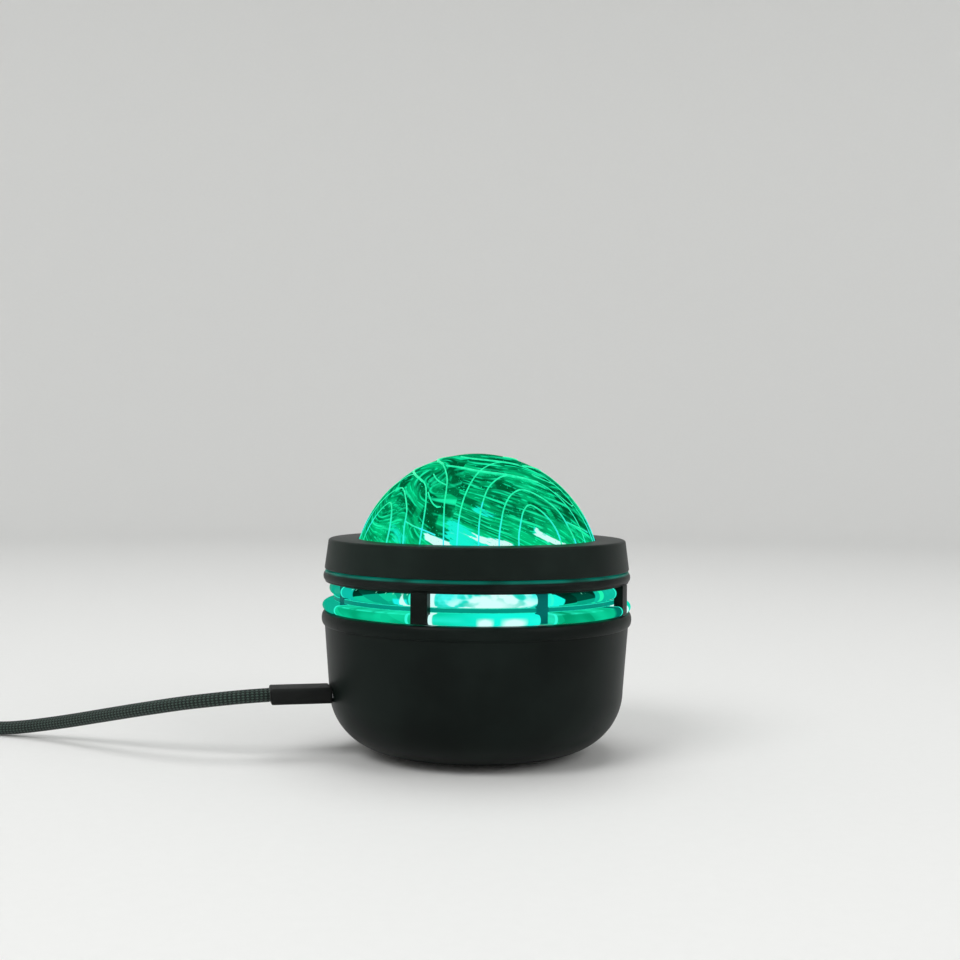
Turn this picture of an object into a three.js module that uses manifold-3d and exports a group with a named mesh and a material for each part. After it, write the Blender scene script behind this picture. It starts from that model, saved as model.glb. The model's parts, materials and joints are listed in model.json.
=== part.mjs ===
// Projector night light: a clear wave dome that turns on a small gear motor, over a black cup-shaped
// base with a lit window band, and a braided power cord with its unseen length wound up.
// Millimetres, +Z up, origin on the table under the dome's axis, front towards -Y.
// Azimuths are in degrees from the front towards +X. A radius or reach is measured from the axis.
import * as THREE from "three";
import { mergeVertices, toCreasedNormals } from "three/addons/utils/BufferGeometryUtils.js";
import Module from "manifold-3d";

const wasm = await Module();
wasm.setup();

// Fits between pieces
const seatGap = 0.3; // between pieces that rest on each other
const slidingGap = 0.15; // around what turns or slides in a bore
const runningGap = 0.8; // between the turning dome and the ring around it
const overrun = 1; // how far a cutting tool reaches past what it cuts
const embed = 0.2; // how deep a fused rib or post starts inside what carries it
const weld = 1e-4; // vertices closer than this are one

// Facet counts and shading
const roundSteps = 32;
const hiddenSteps = 24; // round pieces that the shells cover
const footSteps = 12;
const smallSteps = 8;
const screwSteps = 6;
const filletSteps = 5;
const beadSteps = 4;
const cornerSteps = 3;
const edgeSteps = 2;
const creaseAngle = THREE.MathUtils.degToRad(35);

// Radii from the dome outwards
const domeRadius = 36.1;
const domeWall = 1.5;
const rotorSpace = 2.2; // free ring between the dome and the light ring
const sleeveWall = 2;
const hoopThickness = 1.2;
const hoopSpace = 0.3; // between the hoop and the legs that pass it
const legThickness = 2.6;
const sleeveInner = domeRadius + rotorSpace;
const sleeveOuter = sleeveInner + sleeveWall;
const hoopInner = sleeveOuter + seatGap;
const hoopOuter = hoopInner + hoopThickness;
const legInner = hoopOuter + hoopSpace;
const legOuter = legInner + legThickness;

// Base cup
const footHeight = 1.2;
const coverRadius = 24.4;
const coverMargin = 1; // flat ring between the cover and the rounded corner
const wall = 2;
const wallTaper = 1.4;
const legProud = 0.4; // the legs stand out past the cup's wall by this much
const wallTopLevel = 37.4;
const lipHeight = 3.9;
const lipBulge = 0.9;
const wallTopRadius = legOuter - legProud;
const waistRadius = wallTopRadius - wallTaper;
const cornerRadius = waistRadius - coverRadius - coverMargin;
const floorLevel = footHeight;
const waistLevel = floorLevel + cornerRadius;
const lipTop = wallTopLevel + lipHeight;
const lipInner = wallTopRadius - wall;

// Base cover, its feet and its screws
const coverThickness = 2;
const ledgeWidth = 3.4;
const lugRadius = 3.2;
const lugSpace = 1; // between the lugs and the board over them
const lugInset = 4;
const footRadius = 4.5;
const footRecess = 0.6;
const footInset = 2.2;
const coverRibHeight = 1.6;
const coverRibThickness = 1.2;
const coverRibRadius = 12;
const ledgeLevel = floorLevel + coverThickness + seatGap;
const lugCircle = coverRadius - lugInset;
const footCircle = coverRadius - footInset - footRadius;
const coverScrewAzimuths = [0, 90, 180, 270];
const footAzimuths = [45, 135, 225, 315];

// Screws
const shankRadius = 0.9;
const headRadius = 1.9;
const headHeight = 0.9;
const headSink = 0.03; // heads lie this far below their counterbore's edge
const pilotRadius = shankRadius + slidingGap;
const counterboreRadius = headRadius + seatGap;
const counterboreDepth = headHeight + seatGap + headSink;
const coverScrewLength = 6;
const boardScrewLength = 5;
const chassisScrewLength = 8;
const motorScrewLength = 3.2;
const cageScrewLength = 6;
const hubScrewLength = 4.5;

// Power socket in the wall and the plug in it
const socketAzimuth = -77;
const socketLevel = 18;
const socketWidth = 9;
const socketHeight = 3.25;
const socketDepth = 7.3;
const socketWall = 0.3;
const socketRecess = 1.6; // the mouth lies this far behind the outer wall
const socketCornerShare = 0.42; // of the opening's height
const tongueWidth = 6.4;
const tongueThickness = 0.7;
const tongueCornerShare = 0.3;
const tongueBase = 1.4;
const plugClearance = 0.15;
const plugWall = 0.3;
const plugCornerShare = 0.45;
const plugInsertion = 5.4;
const plugThickness = 4.6;
const plugWidth = 10;
const plugLength = 16.7;
const plugCorner = 1.2;
const plugEdge = 0.5;
const socketMouth = waistRadius - socketRecess;
const socketBack = socketMouth - socketDepth;
const socketInnerWidth = socketWidth - 2 * socketWall;
const socketInnerHeight = socketHeight - 2 * socketWall;
const plugFace = cupRadius(socketLevel + plugThickness / 2, 0) + seatGap;
const plugEnd = plugFace + plugLength;

// Chassis plate that carries the motor, the light board and the tray
const plateDrop = 5.8;
const plateThickness = 2;
const plateSpace = 0.6;
const bossRadius = 2.9;
const bossAzimuths = [40, 135, 220, 310];
const pilotDepth = 9;
const plateRibHeight = 2.4;
const plateRibThickness = 1.4;
const plateRibMargin = 3;
const plateRibAzimuths = [0, 90, 180, 270];
const wireHoleRadius = 3;
const wireHoleAzimuth = 180;
const plateTop = lipTop - plateDrop;
const plateBottom = plateTop - plateThickness;
const plateRadius = cupRadius(plateBottom, wall) - plateSpace;
const bossCircle = plateRadius - bossRadius;

// Main board
const boardThickness = 1.6;
const boardSpace = 0.7;
const tabWidth = 12; // the board's tab under the socket
const postRadius = 2.6;
const postInset = 5.5;
const postAzimuths = [30, 140, 250];
const boardTop = socketLevel - socketHeight / 2 - seatGap;
const boardBottom = boardTop - boardThickness;
const boardRadius = bossCircle - bossRadius - boardSpace;
const postCircle = boardRadius - postInset;
const tabReach = sectionRadius(cupRadius(boardBottom, wall) - boardSpace, tabWidth / 2);
const lugTop = boardBottom - lugSpace;
const chipWidth = 8;
const chipDepth = 6;
const chipHeight = 1.6;
const chipAzimuth = 60;
const driverAzimuth = 320;
const capacitorRadius = 3.2;
const capacitorHeight = 7.5;
const capacitorAzimuth = 110;
const headerWidth = 8;
const headerDepth = 4;
const headerHeight = 5;
const headerAzimuth = 200;

// Mode button on the rear wall, and the switch that it presses
const buttonAzimuth = 180;
const buttonWidth = 10;
const buttonHeight = 5;
const buttonCorner = 2.3;
const buttonProud = 0.9;
const buttonTravel = 0.6;
const flangeMargin = 1;
const flangeThickness = 1.2;
const stemRadius = 1.6;
const stemLength = 2.2;
const switchWidth = 6;
const switchHeight = 5;
const switchDepth = 4.5;
const plungerRadius = 1.3;
const plungerProud = 2;
const plungerHidden = 1.2;
const buttonLevel = boardTop + seatGap + switchHeight / 2;
const flangeLevel = buttonLevel - buttonHeight / 2 - flangeMargin;
const flangeOuter =
  sectionRadius(cupRadius(flangeLevel, wall), buttonWidth / 2 + flangeMargin) - seatGap;
const flangeInner = flangeOuter - flangeThickness;
const plungerEnd = flangeInner - stemLength;
const switchFace = plungerEnd - plungerProud;

// Gear motor
const shaftRadius = 1.5;
const gearboxRadius = 12;
const gearboxHeight = 7;
const earReach = 17;
const earRadius = 3.4;
const earThickness = 1;
const earAzimuths = [90, 270];
const canRadius = 10;
const canHeight = 7.5;
const canStep = 1.2;
const canBossRadius = 3;
const shaftHidden = 4.5; // length of shaft inside the gearbox
const shaftFlat = 0.5;
const gearboxTop = plateBottom - seatGap;
const canTop = gearboxTop - gearboxHeight - seatGap;

// Light board and its six lamps
const lightBoardRadius = 22;
const lightBoardThickness = 1.2;
const lampCount = 6;
const lampCircle = 16;
const lampWidth = 5;
const lampHeight = 1.2;
const lampLensRadius = 1.9;
const lampLensHeight = 0.4;
const lightBoardTop = plateTop + seatGap + lightBoardThickness;
const lampAzimuths = Array.from({ length: lampCount }, (_, i) => (360 * i) / lampCount);

// Reflector tray
const trayThickness = 1.2;
const trayFloorRadius = 30;
const trayLift = 0.6; // the floor's clearance over the light board
const flangeHeight = 1.2;
const standoffRadius = 1.4;
const standoffAzimuths = [25, 145, 265];
const trayFloorLevel = lightBoardTop + seatGap + trayLift;
const trayLampHole = 0.4;

// Window band: the light ring's lobes, the hoop between them and the black cage in front
const windowHeight = 8.6;
const hoopHeight = 1.4;
const hoopLevelShare = 0.47;
const hoopSplit = 1.2;
const hoopSplitAzimuth = 160;
const uprightWidth = 3.3;
const uprightAzimuths = [25, 115, 205, 295];
const lowerLobeProud = 0.3; // past the legs' outer face
const upperLobeDrawn = 1.7; // short of the legs' outer face
const legWidth = 4.8;
const legAzimuths = [-20, 70, 160, 250];
const bandHeight = 3.3;
const bandBulge = 0.5;
const bandBeadShare = 0.67; // the bead's share of the band's height
const bandInset = 0.45;
const bridgeHeight = 1.6;
const clipWidth = 4;
const clipReach = 5; // how far the clips reach down inside the cup
const clipNib = 0.6;
const clipNibHeight = 1.2;
const clipOuter = lipInner - seatGap;
const clipInner = sleeveOuter + seatGap;
const clipBottom = lipTop - clipReach;
const bandBottom = lipTop + windowHeight;
const bandTop = bandBottom + bandHeight;
const bandInner = domeRadius + runningGap;
const bandOuter = legOuter - bandInset;
const hoopLevel = lipTop + windowHeight * hoopLevelShare;

// Bezel ring over the dome's rim
const bezelHeight = 8.75;
const bezelInset = 0.3;
const bezelTaper = 1;
const bezelEdge = 0.8;
const bezelFoot = 0.4;
const bezelLip = 1.5;
const bezelSkin = 2;
const bezelInnerWall = 1.5;
const domeOpeningGap = 0.5;
const bezelBossRadius = 2.2;
const bezelPilotDepth = 6.5;
const bezelBottom = bandTop + seatGap;
const bezelTop = bezelBottom + bezelHeight;
const bezelBottomRadius = legOuter - bezelInset;
const bezelTopRadius = bezelBottomRadius - bezelTaper;
const bezelInner = domeRadius + runningGap;
const bezelCavityInner = bezelInner + bezelInnerWall;
const bezelCavityOuter = bezelTopRadius - bezelSkin;
const cageScrewCircle = (bezelCavityInner + bezelCavityOuter) / 2;

// Dome, its carrier and the shaft
const carrierDrop = 2.5;
const carrierThickness = 1.8;
const carrierRimWidth = 5.2;
const carrierInset = 0.2;
const hubRadius = 4.2;
const hubLength = 5;
const hubWeb = 1;
const spokeCount = 4;
const spokeWidth = 4;
const ridgeThickness = 0.7;
const ridgeHeight = 1.5;
const domeRings = 7;
const domeInnerRings = 6;
const carrierTop = bandTop - carrierDrop;
const domeCentre = carrierTop + seatGap;
const domeInner = domeRadius - domeWall;
const ridgeOuter = domeInner - seatGap;
const ridgeInner = ridgeOuter - ridgeThickness;

// Raised arch lines inside the dome, nested in families
const archFamilyAzimuths = [31, 121, 211, 301];
const archHalfWidths = [16.5, 24.5, 34, 42];
const archApexElevations = [37, 46, 56.5, 67.5];
const archFootElevation = 4;
const archSquareness = 2.6;
const archDrawSteps = 24; // for the arch's outline, before it is spaced evenly
const archSpacing = 9;
const archLine = 0.7;

// Wave relief on the inner lens
const waveHeight = 0.35;
const waveCount = 9;
const waveTwist = 5;
const waveRipples = 3;
const waveWall = 1.2;
const waveRings = 8;
const waveInnerRings = 3;
const waveRadius = ridgeInner - seatGap - waveHeight;

// Cord. Its points are in millimetres, from the plug's rear end to the coil, and from the coil to
// the far plug.
const cordDiameter = 4;
const cordSides = 10;
const tableGap = 0.1; // under the cord that lies on the table
const leadSteps = 16;
const tailSteps = 5;
const leadPoints = [
  [-64, -14.9, 17.8],
  [-69.7, -15.2, 17.3],
  [-76.6, -14.4, 16.4],
  [-83.3, -12.6, 15.3],
  [-90.6, -9.8, 13.8],
  [-97.8, -6.6, 12.2],
  [-105.7, -2.5, 10.3],
  [-113.3, 1.8, 8.4],
  [-121.4, 6.4, 6.4],
  [-129.5, 10.6, 4.6],
  [-137.5, 13.9, 3.1],
  [-145.3, 16.4, 2.2],
  [-158, 18.6, 2.1],
  [-174, 19.8, 2.1],
  [-190, 20, 2.1],
];
const tailPoints = [
  [-219, 20, 6.55],
  [-225, 19.9, 6.2],
  [-232, 19.6, 5.3],
  [-239, 19.3, 4.4],
  [-246, 19.1, 4],
];
const coilCentre = [-210, -10];
const coilTurns = 6;
const coilRadius = 30;
const coilGap = 0.6;
const coilSteps = 24;
const coilSides = 6;
const coilPitch = cordDiameter + coilGap;
const coilReversalShare = 0.25;

// Far plug, flat on the table
const farPlugWidth = 16;
const farPlugThickness = 8;
const farPlugLength = 22;
const farPlugCorner = 2.6;
const farPlugEdge = 0.7;
const farShellWidth = 12;
const farShellHeight = 4.5;
const farShellLength = 12;
const farShellWall = 0.35;
const farShellCorner = 0.6;
const farTongueThickness = 1.8;
const farTongueInset = 0.6;

// Turns an azimuth into the rotation about Z that brings +X there.
function turn(azimuth) {
  return THREE.MathUtils.degToRad(azimuth - 90);
}

// The radius of a ball's section at a height over its centre.
function sectionRadius(radius, height) {
  return Math.sqrt(radius * radius - height * height);
}

// The cup's radius at a level, for a wall drawn in by an offset from the outside.
function cupRadius(level, offset) {
  if (level < waistLevel) {
    const arm = cornerRadius - offset;
    const drop = Math.min(waistLevel - level, arm);
    return waistRadius - cornerRadius + sectionRadius(arm, drop);
  }
  const share = (level - waistLevel) / (wallTopLevel - waistLevel);
  return waistRadius - offset + wallTaper * Math.min(share, 1);
}

// A three.js geometry as a solid that can be cut and joined.
function asSolid(shape) {
  if (!shape.isBufferGeometry) return shape;
  const bare = shape.clone();
  bare.deleteAttribute("normal");
  bare.deleteAttribute("uv");
  const merged = mergeVertices(bare, weld);
  const corners = merged.index.array;
  const kept = [];
  for (let i = 0; i < corners.length; i += 3) {
    const [a, b, c] = corners.subarray(i, i + 3);
    if (a !== b && b !== c && c !== a) kept.push(a, b, c);
  }
  const vertProperties = new Float32Array(merged.attributes.position.array);
  const mesh = new wasm.Mesh({ numProp: 3, vertProperties, triVerts: Uint32Array.from(kept) });
  return new wasm.Manifold(mesh);
}

function join(first, ...others) {
  return others.reduce((whole, other) => whole.add(asSolid(other)), asSolid(first));
}

function cut(whole, ...tools) {
  return tools.reduce((left, tool) => left.subtract(asSolid(tool)), asSolid(whole));
}

function common(first, second) {
  return asSolid(first).intersect(asSolid(second));
}

// A named mesh of a solid, in a group.
function piece(group, name, shape, material) {
  const mesh = asSolid(shape).getMesh();
  const geometry = new THREE.BufferGeometry();
  geometry.setAttribute("position", new THREE.BufferAttribute(mesh.vertProperties, 3));
  geometry.setIndex(new THREE.BufferAttribute(mesh.triVerts, 1));
  const made = new THREE.Mesh(toCreasedNormals(geometry, creaseAngle), material.clone());
  made.name = name;
  group.add(made);
  return made;
}

// Points on an elliptical arc, angles in degrees from +R towards +Z.
function arc(centreRadius, centreLevel, across, up, from, to, steps) {
  const points = [];
  for (let i = 0; i <= steps; i++) {
    const angle = THREE.MathUtils.degToRad(from + ((to - from) * i) / steps);
    points.push([centreRadius + across * Math.cos(angle), centreLevel + up * Math.sin(angle)]);
  }
  return points;
}

// A closed outline of radii and levels turned round the Z axis.
function revolve(outline, steps = roundSteps) {
  const points = outline.map(([radius, level]) => new THREE.Vector2(radius, level));
  if (THREE.ShapeUtils.area(points) < 0) points.reverse();
  points.push(points[0].clone());
  return new THREE.LatheGeometry(points, steps).rotateX(Math.PI / 2);
}

// A plain ring or disc between two levels.
function ring(inner, outer, bottom, top, steps = roundSteps) {
  return revolve([[inner, bottom], [outer, bottom], [outer, top], [inner, top]], steps);
}

// A cylinder standing at a radius and azimuth, from one level to another.
function post(radius, reach, azimuth, bottom, top, steps = smallSteps) {
  const cylinder = new THREE.CylinderGeometry(radius, radius, top - bottom, steps);
  cylinder.rotateX(Math.PI / 2).translate(reach, 0, (bottom + top) / 2);
  return cylinder.rotateZ(turn(azimuth));
}

// A box that reaches outwards between two radii at an azimuth.
function block(width, inner, outer, azimuth, bottom, top) {
  const box = new THREE.BoxGeometry(outer - inner, width, top - bottom);
  box.translate((inner + outer) / 2, 0, (bottom + top) / 2);
  return box.rotateZ(turn(azimuth));
}

function roundedRectangle(width, height, corner) {
  const x = width / 2 - corner;
  const y = height / 2 - corner;
  const shape = new THREE.Shape();
  shape.absarc(x, -y, corner, -Math.PI / 2, 0);
  shape.absarc(x, y, corner, 0, Math.PI / 2);
  shape.absarc(-x, y, corner, Math.PI / 2, Math.PI);
  shape.absarc(-x, -y, corner, Math.PI, 1.5 * Math.PI);
  shape.closePath();
  return shape;
}

// A rounded rectangle drawn out along +X from one distance to another, its middle on the X axis.
function bar(width, height, corner, from, to, edge = 0) {
  const options = { depth: to - from - 2 * edge, curveSegments: edgeSteps, bevelEnabled: edge > 0 };
  options.bevelSize = edge;
  options.bevelThickness = edge;
  options.bevelOffset = -edge;
  options.bevelSegments = edgeSteps;
  const along = new THREE.Matrix4().makeBasis(
    new THREE.Vector3(0, 1, 0),
    new THREE.Vector3(0, 0, 1),
    new THREE.Vector3(1, 0, 0),
  );
  const drawn = new THREE.ExtrudeGeometry(roundedRectangle(width, height, corner), options);
  return drawn.applyMatrix4(along).translate(from + edge, 0, 0);
}

// A screw with its head's seat at z = 0, the head above it and the shank below.
function screw(length) {
  const head = ring(0, headRadius, 0, headHeight, screwSteps);
  const shank = ring(0, shankRadius, -length, embed, screwSteps);
  return join(head, shank);
}

// Places one screw of a set. A turned one has its head below its seat.
function screwPiece(group, name, length, reach, azimuth, level, turned) {
  const made = piece(group, name, screw(length), materials.screw);
  made.position.set(reach * Math.cos(turn(azimuth)), reach * Math.sin(turn(azimuth)), level);
  made.rotation.x = turned ? Math.PI : 0;
}

function finish(color, roughness, metalness, extra = {}) {
  return new THREE.MeshStandardMaterial({ color, roughness, metalness, ...extra });
}

const materials = {
  shell: finish(0x0b0c0d, 0.35, 0),
  cover: finish(0x101112, 0.6, 0),
  rubber: finish(0x17181a, 0.9, 0),
  board: finish(0x0f5132, 0.5, 0),
  lightBoard: finish(0xe9ecec, 0.5, 0),
  steel: finish(0xb9bcc0, 0.35, 1),
  screw: finish(0x8f9296, 0.4, 1),
  plate: finish(0x2a2d30, 0.6, 0),
  tray: finish(0xf1f4f4, 0.15, 0),
  clear: finish(0xd9fff0, 0.08, 0, { transparent: true, opacity: 0.4 }),
  divider: finish(0x0b5a5e, 0.3, 0),
  lamp: finish(0xd8fff2, 0.3, 0, { emissive: 0x35ffc0 }),
  braid: finish(0x1b1f1e, 0.85, 0),
  plug: finish(0x121314, 0.5, 0),
  tongue: finish(0x202326, 0.6, 0),
};

// The cup: a rounded lower corner, a tapered wall and a beaded lip, open below for the cover.
function cupOutline() {
  const cornerCentre = waistRadius - cornerRadius;
  const innerCorner = cornerRadius - wall;
  const innerFloor = ledgeLevel + wall;
  const foot = THREE.MathUtils.radToDeg(Math.asin((waistLevel - innerFloor) / innerCorner));
  const lipMiddle = (wallTopLevel + lipTop) / 2;
  const recess = coverRadius + seatGap;
  const opening = coverRadius - ledgeWidth;
  return [
    [opening, ledgeLevel],
    [recess, ledgeLevel],
    [recess, floorLevel],
    ...arc(cornerCentre, waistLevel, cornerRadius, cornerRadius, -90, 0, filletSteps),
    ...arc(wallTopRadius, lipMiddle, lipBulge, lipHeight / 2, -90, 90, beadSteps),
    [lipInner, lipTop],
    [lipInner, wallTopLevel],
    ...arc(cornerCentre, waistLevel, innerCorner, innerCorner, 0, -foot, cornerSteps),
    [opening, innerFloor],
  ];
}

function lowerHousing() {
  const cornerCentre = waistRadius - cornerRadius;
  const envelope = revolve([
    [0, floorLevel],
    ...arc(cornerCentre, waistLevel, cornerRadius, cornerRadius, -90, 0, filletSteps),
    [wallTopRadius, wallTopLevel],
    [0, wallTopLevel],
  ]);
  const bosses = bossAzimuths.map((azimuth) =>
    post(bossRadius, bossCircle, azimuth, ledgeLevel, plateBottom - seatGap),
  );
  const posts = postAzimuths.map((azimuth) =>
    post(postRadius, postCircle, azimuth, ledgeLevel + embed, boardBottom - seatGap),
  );
  const lugs = coverScrewAzimuths.map((azimuth) =>
    post(lugRadius, lugCircle, azimuth, ledgeLevel, lugTop),
  );
  const inside = common(join(...bosses, ...posts, ...lugs), envelope);
  const bossPilots = bossAzimuths.map((azimuth) =>
    post(pilotRadius, bossCircle, azimuth, plateBottom - pilotDepth, plateBottom, screwSteps),
  );
  const postPilots = postAzimuths.map((azimuth) =>
    post(pilotRadius, postCircle, azimuth, ledgeLevel + wall, boardBottom, screwSteps),
  );
  const lugPilots = coverScrewAzimuths.map((azimuth) =>
    post(pilotRadius, lugCircle, azimuth, floorLevel, lugTop - wall / 2, screwSteps),
  );
  const socketHole = bar(
    socketWidth + 2 * seatGap,
    socketHeight + 2 * seatGap,
    socketHeight / 2,
    waistRadius - cornerRadius / 2,
    waistRadius + overrun,
  );
  socketHole.translate(0, 0, socketLevel).rotateZ(turn(socketAzimuth));
  const buttonHole = bar(
    buttonWidth + 2 * seatGap,
    buttonHeight + 2 * seatGap,
    buttonCorner + seatGap,
    waistRadius - cornerRadius / 2,
    waistRadius + overrun,
  );
  buttonHole.translate(0, 0, buttonLevel).rotateZ(turn(buttonAzimuth));
  const clipPockets = legAzimuths.map((azimuth) =>
    block(
      clipWidth + 2 * seatGap,
      lipInner - wall,
      clipOuter + clipNib + seatGap,
      azimuth,
      clipBottom - seatGap,
      clipBottom + clipNibHeight + seatGap,
    ),
  );
  return cut(
    join(revolve(cupOutline()), inside),
    ...bossPilots,
    ...postPilots,
    ...lugPilots,
    socketHole,
    buttonHole,
    ...clipPockets,
  );
}

function baseCover() {
  const disc = ring(0, coverRadius, floorLevel, floorLevel + coverThickness);
  const ribTop = floorLevel + coverThickness + coverRibHeight;
  const ribBottom = floorLevel + coverThickness - embed;
  const inner = coverRibRadius - coverRibThickness;
  const hoop = ring(inner, coverRibRadius, ribBottom, ribTop, hiddenSteps);
  const cross = coverScrewAzimuths.map((azimuth) =>
    block(coverRibThickness, 0, inner + embed, azimuth, ribBottom, ribTop),
  );
  const screwHoles = coverScrewAzimuths.map((azimuth) =>
    post(pilotRadius, lugCircle, azimuth, 0, ledgeLevel, screwSteps),
  );
  const counterbores = coverScrewAzimuths.map((azimuth) =>
    post(counterboreRadius, lugCircle, azimuth, 0, floorLevel + counterboreDepth, screwSteps),
  );
  const recesses = footAzimuths.map((azimuth) =>
    post(footRadius + seatGap, footCircle, azimuth, 0, floorLevel + footRecess, footSteps),
  );
  return cut(join(disc, hoop, ...cross), ...screwHoles, ...counterbores, ...recesses);
}

// A rubber foot with a rounded lower edge.
function rubberFoot() {
  const top = floorLevel + footRecess - seatGap;
  const edge = footHeight / 2;
  return revolve(
    [
      [0, 0],
      ...arc(footRadius - edge, edge, edge, edge, -90, 0, edgeSteps),
      [footRadius, top],
      [0, top],
    ],
    footSteps,
  );
}

function mainBoard() {
  const bottom = boardBottom - overrun;
  const top = boardTop + overrun;
  const disc = ring(0, boardRadius, boardBottom, boardTop, hiddenSteps);
  const tab = block(tabWidth, 0, tabReach, socketAzimuth, boardBottom, boardTop);
  const holes = postAzimuths.map((azimuth) =>
    post(pilotRadius, postCircle, azimuth, bottom, top, screwSteps),
  );
  // room for the button's flange, where the board reaches that far
  const flangeWidth = buttonWidth + 2 * flangeMargin + 2 * seatGap;
  const room = block(flangeWidth, flangeInner - seatGap, flangeOuter + wall, buttonAzimuth, bottom, top);
  const middle = boardRadius / 2;
  const base = boardTop - embed;
  const chipTop = boardTop + chipHeight;
  const chip = block(chipWidth, middle, middle + chipDepth, chipAzimuth, base, chipTop);
  const driver = block(chipDepth, middle, middle + chipDepth, driverAzimuth, base, chipTop);
  const headerTop = boardTop + headerHeight;
  const header = block(headerWidth, middle, middle + headerDepth, headerAzimuth, base, headerTop);
  const capacitor = post(
    capacitorRadius,
    middle + capacitorRadius,
    capacitorAzimuth,
    base,
    boardTop + capacitorHeight,
  );
  return cut(join(disc, tab, chip, header, driver, capacitor), room, ...holes);
}

// The socket's shell, open towards +X and closed at the back, along its own X axis.
function socketShell() {
  const outer = bar(
    socketWidth,
    socketHeight,
    socketHeight * socketCornerShare,
    socketBack,
    socketMouth,
  );
  const inner = bar(
    socketInnerWidth,
    socketInnerHeight,
    socketInnerHeight * socketCornerShare,
    socketBack + socketWall,
    socketMouth + overrun,
  );
  return cut(outer, inner);
}

function socketTongue() {
  const clear = 2 * slidingGap;
  const start = socketBack + socketWall + slidingGap;
  const base = bar(
    socketInnerWidth - clear,
    socketInnerHeight - clear,
    (socketInnerHeight - clear) * socketCornerShare,
    start,
    start + tongueBase,
  );
  const tongue = bar(
    tongueWidth,
    tongueThickness,
    tongueThickness * tongueCornerShare,
    start + tongueBase - embed,
    socketMouth - tongueThickness,
  );
  return join(base, tongue);
}

function plugShell() {
  const width = socketInnerWidth - 2 * plugClearance;
  const height = socketInnerHeight - 2 * plugClearance;
  const tip = socketMouth - plugInsertion;
  const outer = bar(width, height, height * plugCornerShare, tip, plugFace - seatGap);
  const hollow = bar(
    width - 2 * plugWall,
    height - 2 * plugWall,
    (height - 2 * plugWall) * plugCornerShare,
    tip - overrun,
    plugFace - seatGap - plugWall,
  );
  return cut(outer, hollow);
}

function plugBody() {
  return bar(plugWidth, plugThickness, plugCorner, plugFace, plugEnd, plugEdge);
}

// The button's cap passes the wall, its flange stops behind it and its stem meets the plunger.
function modeButton() {
  const cap = bar(
    buttonWidth,
    buttonHeight,
    buttonCorner,
    flangeOuter - embed,
    waistRadius + buttonProud,
    buttonProud / 2,
  );
  const flange = bar(
    buttonWidth + 2 * flangeMargin,
    buttonHeight + 2 * flangeMargin,
    buttonCorner,
    flangeInner,
    flangeOuter,
  );
  const stem = new THREE.CylinderGeometry(stemRadius, stemRadius, stemLength, smallSteps);
  stem.rotateZ(Math.PI / 2).translate(plungerEnd + stemLength / 2 + seatGap, 0, 0);
  return join(cap, flange, stem);
}

function switchPlunger() {
  const length = plungerProud + plungerHidden;
  const pin = new THREE.CylinderGeometry(plungerRadius, plungerRadius, length, smallSteps);
  return pin.rotateZ(Math.PI / 2).translate(plungerEnd - length / 2, 0, 0);
}

function modeSwitch() {
  const body = new THREE.BoxGeometry(switchDepth, switchWidth, switchHeight);
  body.translate(switchFace - switchDepth / 2, 0, 0);
  const boreRadius = plungerRadius + slidingGap;
  const boreLength = plungerHidden + buttonTravel + seatGap + overrun;
  const bore = new THREE.CylinderGeometry(boreRadius, boreRadius, boreLength, smallSteps);
  bore.rotateZ(Math.PI / 2).translate(switchFace + overrun - boreLength / 2, 0, 0);
  return cut(body, bore);
}

function chassisPlate() {
  const disc = ring(0, plateRadius, plateBottom, plateTop, hiddenSteps);
  const ribBottom = plateBottom - plateRibHeight;
  const ribStart = earReach + earRadius + plateRibMargin;
  const ribEnd = plateRadius - plateRibMargin;
  const ribs = plateRibAzimuths.map((azimuth) =>
    block(plateRibThickness, ribStart, ribEnd, azimuth, ribBottom, plateBottom + embed),
  );
  const hoop = ring(
    ribStart,
    ribStart + plateRibThickness,
    ribBottom,
    plateBottom + embed,
    hiddenSteps,
  );
  const bottom = plateBottom - overrun;
  const top = plateTop + overrun;
  const shaftHole = post(shaftRadius + runningGap, 0, 0, bottom, top);
  const screwHoles = bossAzimuths.map((azimuth) =>
    post(pilotRadius, bossCircle, azimuth, bottom, top, screwSteps),
  );
  const earHoles = earAzimuths.map((azimuth) =>
    post(pilotRadius, earReach, azimuth, bottom, top, screwSteps),
  );
  const wireHole = post(
    wireHoleRadius,
    lightBoardRadius + 2 * wireHoleRadius,
    wireHoleAzimuth,
    bottom,
    top,
  );
  return cut(join(disc, hoop, ...ribs), shaftHole, ...screwHoles, ...earHoles, wireHole);
}

function motorGearbox() {
  const cup = ring(0, gearboxRadius, gearboxTop - gearboxHeight, gearboxTop, hiddenSteps);
  const earBottom = gearboxTop - earThickness;
  const bridges = earAzimuths.map((azimuth) =>
    block(2 * earRadius, 0, earReach, azimuth, earBottom, gearboxTop),
  );
  const ears = earAzimuths.map((azimuth) => post(earRadius, earReach, azimuth, earBottom, gearboxTop));
  const holes = earAzimuths.map((azimuth) =>
    post(pilotRadius, earReach, azimuth, earBottom - overrun, gearboxTop + overrun, screwSteps),
  );
  const bore = post(
    shaftRadius + slidingGap,
    0,
    0,
    gearboxTop - shaftHidden - seatGap,
    gearboxTop + overrun,
  );
  return cut(join(cup, ...bridges, ...ears), ...holes, bore);
}

function motorCan() {
  const bottom = canTop - canHeight;
  return revolve(
    [
      [0, canTop],
      [canRadius, canTop],
      [canRadius, bottom + canStep],
      [canRadius - canStep, bottom],
      [canBossRadius, bottom],
      [canBossRadius, bottom - canStep],
      [0, bottom - canStep],
    ],
    hiddenSteps,
  );
}

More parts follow.
